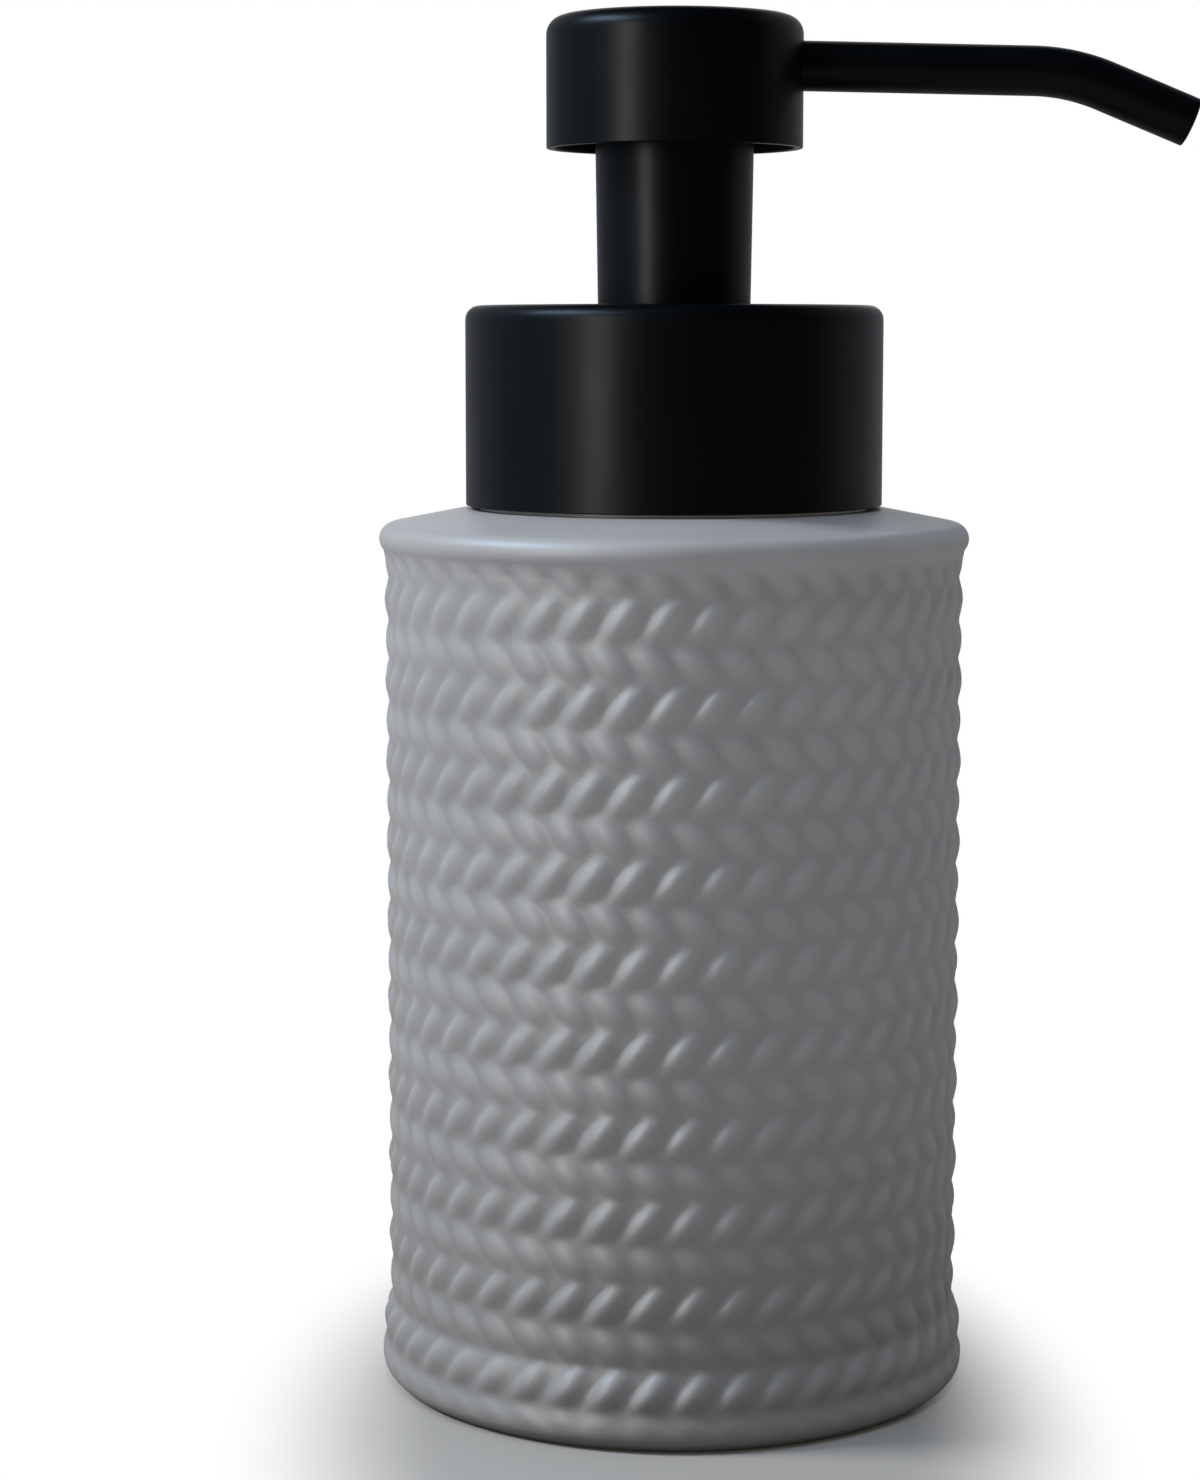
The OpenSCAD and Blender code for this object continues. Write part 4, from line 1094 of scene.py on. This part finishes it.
def dressed_copy(name, node, material, smooth_under):
    """A copy of a part with its loose triangles joined and its round faces smoothed."""
    work = bmesh.new()
    work.from_mesh(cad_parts[node].data)
    bmesh.ops.remove_doubles(work, verts=work.verts, dist=LOOSE_POINT)
    bmesh.ops.dissolve_degenerate(work, edges=work.edges, dist=SAME_POINT)
    work.verts.index_update()
    vertices = [tuple(vertex.co) for vertex in work.verts]
    faces = [tuple(vertex.index for vertex in face.verts) for face in work.faces]
    work.free()
    piece = new_piece(name, vertices, faces)
    piece.data.set_sharp_from_angle(angle=smooth_under)
    piece.data.materials.append(material)
    return piece


class MakeWorks(bpy.types.Operator):
    """Dresses the pump's inner pieces in their plastics, foam, rubber and glass"""
    bl_idname = "soap_pump.works"
    bl_label = "Pump works"

    def execute(self, context):
        works = context.scene.soap_pump_works
        finish = context.scene.soap_pump_finish
        natural, white = natural_polypropylene(finish), white_polypropylene(finish)
        glass = ball_glass(finish)
        pieces = (
            ("neck_ring", "threaded_neck_ring", "bottle", "white_plastic", white),
            ("neck_gasket", "foam_washer", "washer", "seal_foam", closed_foam(finish)),
            ("closure", "screw_closure", "collar", "white_plastic", white),
            ("pump_cylinder", "pump_barrel", "pump", "natural_plastic", natural),
            ("guide_ring", "barrel_cap", "pump", "natural_plastic", natural),
            ("dip_tube", "suction_tube", "pump", "clear_tube", clear_polyethylene(finish)),
            ("inlet_ball", "inlet_glass_ball", "inlet_valve", "glass_ball", glass),
            ("outlet_ball", "outlet_glass_ball", "outlet_valve", "glass_ball", glass),
            ("liquid_piston", "liquid_seal", "plunger", "natural_plastic", natural),
            ("valve_stem", "hollow_stem", "plunger", "natural_plastic", natural),
            ("air_piston", "air_seal", "plunger", "natural_plastic", natural),
            ("air_valve", "flap_valve", "plunger", "valve_rubber", silicone(finish)),
            ("mesh_holder", "screen_holder", "plunger", "natural_plastic", natural),
            ("mesh_screens", "woven_screens", "plunger", "screen_nylon", nylon_thread(finish)),
            ("head_core", "head_insert", "head", "black_plastic", black_resin(finish)),
        )
        for node, name, body, slot, material in pieces:
            fit(dressed_copy(name, node, material, works.smooth_under), body, slot, node)
        return {"FINISHED"}


# ---- Stage ----


FLOOR_HALF = 3.0        # half width of the floor, in metres
AIM_HEIGHT = 90 * MM    # height on the object that the lamps look at
PANEL_R = 1.1           # radius of the mirrored panels, in metres
PANEL_TOP = 1.2         # height of their upper edge, in metres

# Name, angle round the object from the camera's side, angle up, distance, width and height,
# power, linear tint, and the kind of visibility that is switched off
LAMPS = (
    ("key", -86, 39, 0.9, (0.22, 0.22), 8.5, (0.925, 0.955, 1.0), "visible_glossy"),
    ("window", -72, 44, 0.9, (0.55, 0.26), 10.0, (0.55, 0.75, 1.0), "visible_diffuse"),
    ("strip", -44, 8, 0.9, (0.10, 0.5), 4.2, (1.0, 0.97, 0.92), "visible_diffuse"),
    ("sky", -15, 85, 1.0, (0.6, 0.6), 6.0, (0.60, 0.75, 1.0), "visible_glossy"),
)

# Name, the angles of the two ends round the object, colour and glow
PANELS = (
    ("front_card", -60, 90, "#060606", 1.0),
    ("side_card", 90, 165, "#a0a4aa", 1.0),
    ("window_card", -125, -60, "#b8d4f4", 0.66),
    ("far_card", -168, -125, "#a0a4aa", 1.0),
)


class MakeStage(bpy.types.Operator):
    """Makes the floor, the lights and the camera"""
    bl_idname = "soap_pump.stage"
    bl_label = "Stage"

    def execute(self, context):
        scene = context.scene
        stage = scene.soap_pump_stage
        add_camera(scene, stage)
        half = FLOOR_HALF
        floor = new_piece("floor", [(-half, -half, 0), (half, -half, 0), (half, half, 0),
                                    (-half, half, 0)], [(0, 1, 2, 3)], smooth=False)
        floor.data.materials.append(pale_floor(stage))
        for lamp in LAMPS:
            add_lamp(scene, *lamp)
        for panel in PANELS:
            add_panel(*panel)
        add_ceiling("ceiling_card", "#060606", 1.0)
        light_world(scene, stage)
        scene.view_settings.view_transform = "Standard"
        return {"FINISHED"}


def add_camera(scene, stage):
    """The scene's camera, in front of the object and a little to its left."""
    camera_data = bpy.data.cameras.new("camera")
    camera_data.sensor_fit = "VERTICAL"
    camera_data.sensor_height = 36.0
    camera_data.lens = stage.lens
    camera_data.clip_start = 10 * MM
    camera = bpy.data.objects.new("camera", camera_data)
    camera.location = stage.eye
    camera.rotation_euler = (math.pi / 2 - stage.tilt, 0.0, 0.0)
    scene.collection.objects.link(camera)
    scene.camera = camera


def add_lamp(scene, name, az, el, distance, size, power, tint, switched_off):
    """A rectangular lamp that looks at the middle of the object."""
    lamp = bpy.data.lights.new(name, "AREA")
    lamp.shape = "RECTANGLE"
    lamp.size, lamp.size_y = size
    lamp.energy = power
    lamp.color = tint
    holder = bpy.data.objects.new(name, lamp)
    a, e = math.radians(az), math.radians(el)
    direction = Vector((math.cos(e) * math.sin(a), -math.cos(e) * math.cos(a), math.sin(e)))
    holder.location = Vector((0.0, 0.0, AIM_HEIGHT)) + direction * distance
    holder.rotation_euler = direction.to_track_quat("Z", "Y").to_euler()
    scene.collection.objects.link(holder)
    setattr(holder, switched_off, False)


def add_panel(name, az_from, az_to, code, glow):
    """A standing curved panel round the object, for its surfaces to mirror."""
    angles = np.radians(np.linspace(az_from, az_to, 24))
    vertices = [(PANEL_R * math.sin(a), -PANEL_R * math.cos(a), z)
                for a in angles for z in (1 * MM, PANEL_TOP)]
    faces = [(2 * i, 2 * i + 2, 2 * i + 3, 2 * i + 1) for i in range(len(angles) - 1)]
    dress_panel(new_piece(name, vertices, faces), code, glow)


def add_ceiling(name, code, glow):
    """A round panel over the object, on top of the standing ones."""
    angles = np.arange(48) * TAU / 48
    rim = [(PANEL_R * math.cos(a), PANEL_R * math.sin(a), PANEL_TOP) for a in angles]
    dress_panel(new_piece(name, rim, [tuple(range(len(rim)))], smooth=False), code, glow)


def dress_panel(panel, code, glow):
    """An evenly lit panel, which is mirrored but lights nothing and isn't seen directly."""
    material, _, shader = new_material(panel.name + "_cloth")
    shader.inputs["Base Color"].default_value = hex_to_linear("#000000")
    shader.inputs["Specular IOR Level"].default_value = 0.0
    shader.inputs["Emission Color"].default_value = hex_to_linear(code)
    shader.inputs["Emission Strength"].default_value = glow
    panel.data.materials.append(material)
    panel.visible_camera = False
    panel.visible_diffuse = False
    panel.visible_shadow = False


def seen_rays(tree):
    """The Light Path outputs, and a node that is 1 where a surface is seen directly, mirrored or
    through glass."""
    path = add_node(tree, "ShaderNodeLightPath").outputs
    seen = add_node(tree, "ShaderNodeMath", {0: path["Is Camera Ray"], 1: path["Is Glossy Ray"]},
                    operation="MAXIMUM")
    seen = add_node(tree, "ShaderNodeMath", {0: seen, 1: path["Is Transmission Ray"]},
                    operation="MAXIMUM")
    return path, seen


def pale_floor(stage):
    """Matt white paper with a painted soft shadow over the lamps' real one: seen directly it is
    lifted towards white outside that oval, and it throws little light back onto the object's foot."""
    material, tree, shader = new_material("white_seamless_paper")
    shader.inputs["Roughness"].default_value = 0.9
    path, seen = seen_rays(tree)
    place = add_node(tree, "ShaderNodeTexCoord").outputs["Object"]
    away = add_node(tree, "ShaderNodeVectorMath", {0: place}, operation="LENGTH")
    bright = add_node(tree, "ShaderNodeMapRange",
                      {0: away.outputs["Value"], 1: stage.dim_in, 2: stage.dim_out,
                       3: stage.back_near, 4: stage.back_far}, interpolation_type="SMOOTHSTEP")
    base = add_node(tree, "ShaderNodeMix", {0: seen, 6: bright.outputs["Result"],
                                            7: hex_to_linear(stage.floor)}, data_type="RGBA")
    tree.links.new(base.outputs["Result"], shader.inputs["Base Color"])
    # The painted shadow is an oval, deeper than it is wide, on the paper in front of the object;
    # inside it the grey paper shows with its real lamp shading
    middle = add_node(tree, "ShaderNodeVectorMath", {0: place, 1: (0.0, stage.shade_y, 0.0)},
                      operation="SUBTRACT")
    squeezed = add_node(tree, "ShaderNodeVectorMath",
                        {0: middle, 1: (1.0, 1.0 / stage.shade_deep, 1.0)}, operation="MULTIPLY")
    out = add_node(tree, "ShaderNodeVectorMath", {0: squeezed}, operation="LENGTH")
    share = add_node(tree, "ShaderNodeMapRange",
                     {0: out.outputs["Value"], 1: stage.shade_in, 2: stage.shade_out,
                      3: 0.0, 4: 1.0}, interpolation_type="SMOOTHSTEP")
    lift = add_node(tree, "ShaderNodeMath", {0: seen, 1: share}, operation="MULTIPLY")
    # Mirrored in the object, the paper is dimmer
    dimmed = add_node(tree, "ShaderNodeMapRange",
                      {0: path["Is Glossy Ray"], 1: 0.0, 2: 1.0, 3: 1.0, 4: stage.mirrored})
    glow = add_node(tree, "ShaderNodeEmission", {"Color": (1, 1, 1, 1),
                                                 "Strength": dimmed.outputs["Result"]})
    mixed = add_node(tree, "ShaderNodeMixShader", {0: lift, 1: shader.outputs["BSDF"],
                                                   2: glow.outputs[0]})
    output = next(n for n in tree.nodes if n.type == "OUTPUT_MATERIAL")
    tree.links.new(mixed.outputs[0], output.inputs["Surface"])
    return material


def light_world(scene, stage):
    """A pale studio: soft warm fill on the object, and white where it is seen or mirrored."""
    world = bpy.data.worlds.new("studio")
    world.use_nodes = True
    tree = world.node_tree
    tree.nodes.clear()
    seen = seen_rays(tree)[1]
    fill = add_node(tree, "ShaderNodeBackground", {"Color": (1.0, 0.975, 0.925, 1.0),
                                                   "Strength": stage.fill})
    white = add_node(tree, "ShaderNodeBackground", {"Color": (1, 1, 1, 1), "Strength": 1.0})
    mixed = add_node(tree, "ShaderNodeMixShader", {0: seen, 1: fill.outputs[0],
                                                   2: white.outputs[0]})
    add_node(tree, "ShaderNodeOutputWorld", {"Surface": mixed.outputs[0]})
    scene.world = world


# ---- Panel and registration ----


class SOAP_PUMP_PT_panel(bpy.types.Panel):
    """Lists the steps that build the soap pump's looks"""
    bl_label = "Soap Pump"
    bl_space_type = "VIEW_3D"
    bl_region_type = "UI"
    bl_category = "Soap Pump"

    def draw(self, context):
        for operator in OPERATORS:
            self.layout.operator(operator.bl_idname)


GROUPS = {"soap_pump_bottle": SoapPumpBottle, "soap_pump_metal": SoapPumpMetal,
          "soap_pump_works": SoapPumpWorks, "soap_pump_finish": SoapPumpFinish,
          "soap_pump_stage": SoapPumpStage}
OPERATORS = (MakeStage, MakeBottle, MakeShells, MakeSleeve, MakeSpout, MakeSpring, MakeWorks)


def register():
    """Registers the property groups, the operators and the panel."""
    for cls in (*GROUPS.values(), *OPERATORS, SOAP_PUMP_PT_panel):
        bpy.utils.register_class(cls)
    for name, group in GROUPS.items():
        setattr(bpy.types.Scene, name, PointerProperty(type=group))


def unregister():
    """Takes them away again, in the opposite order."""
    for name in GROUPS:
        delattr(bpy.types.Scene, name)
    for cls in (SOAP_PUMP_PT_panel, *reversed(OPERATORS), *reversed(GROUPS.values())):
        bpy.utils.unregister_class(cls)


def main():
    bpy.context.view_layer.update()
    register()
    for operator in OPERATORS:
        group, name = operator.bl_idname.split(".")
        getattr(getattr(bpy.ops, group), name)()


if __name__ == "__main__":
    main()
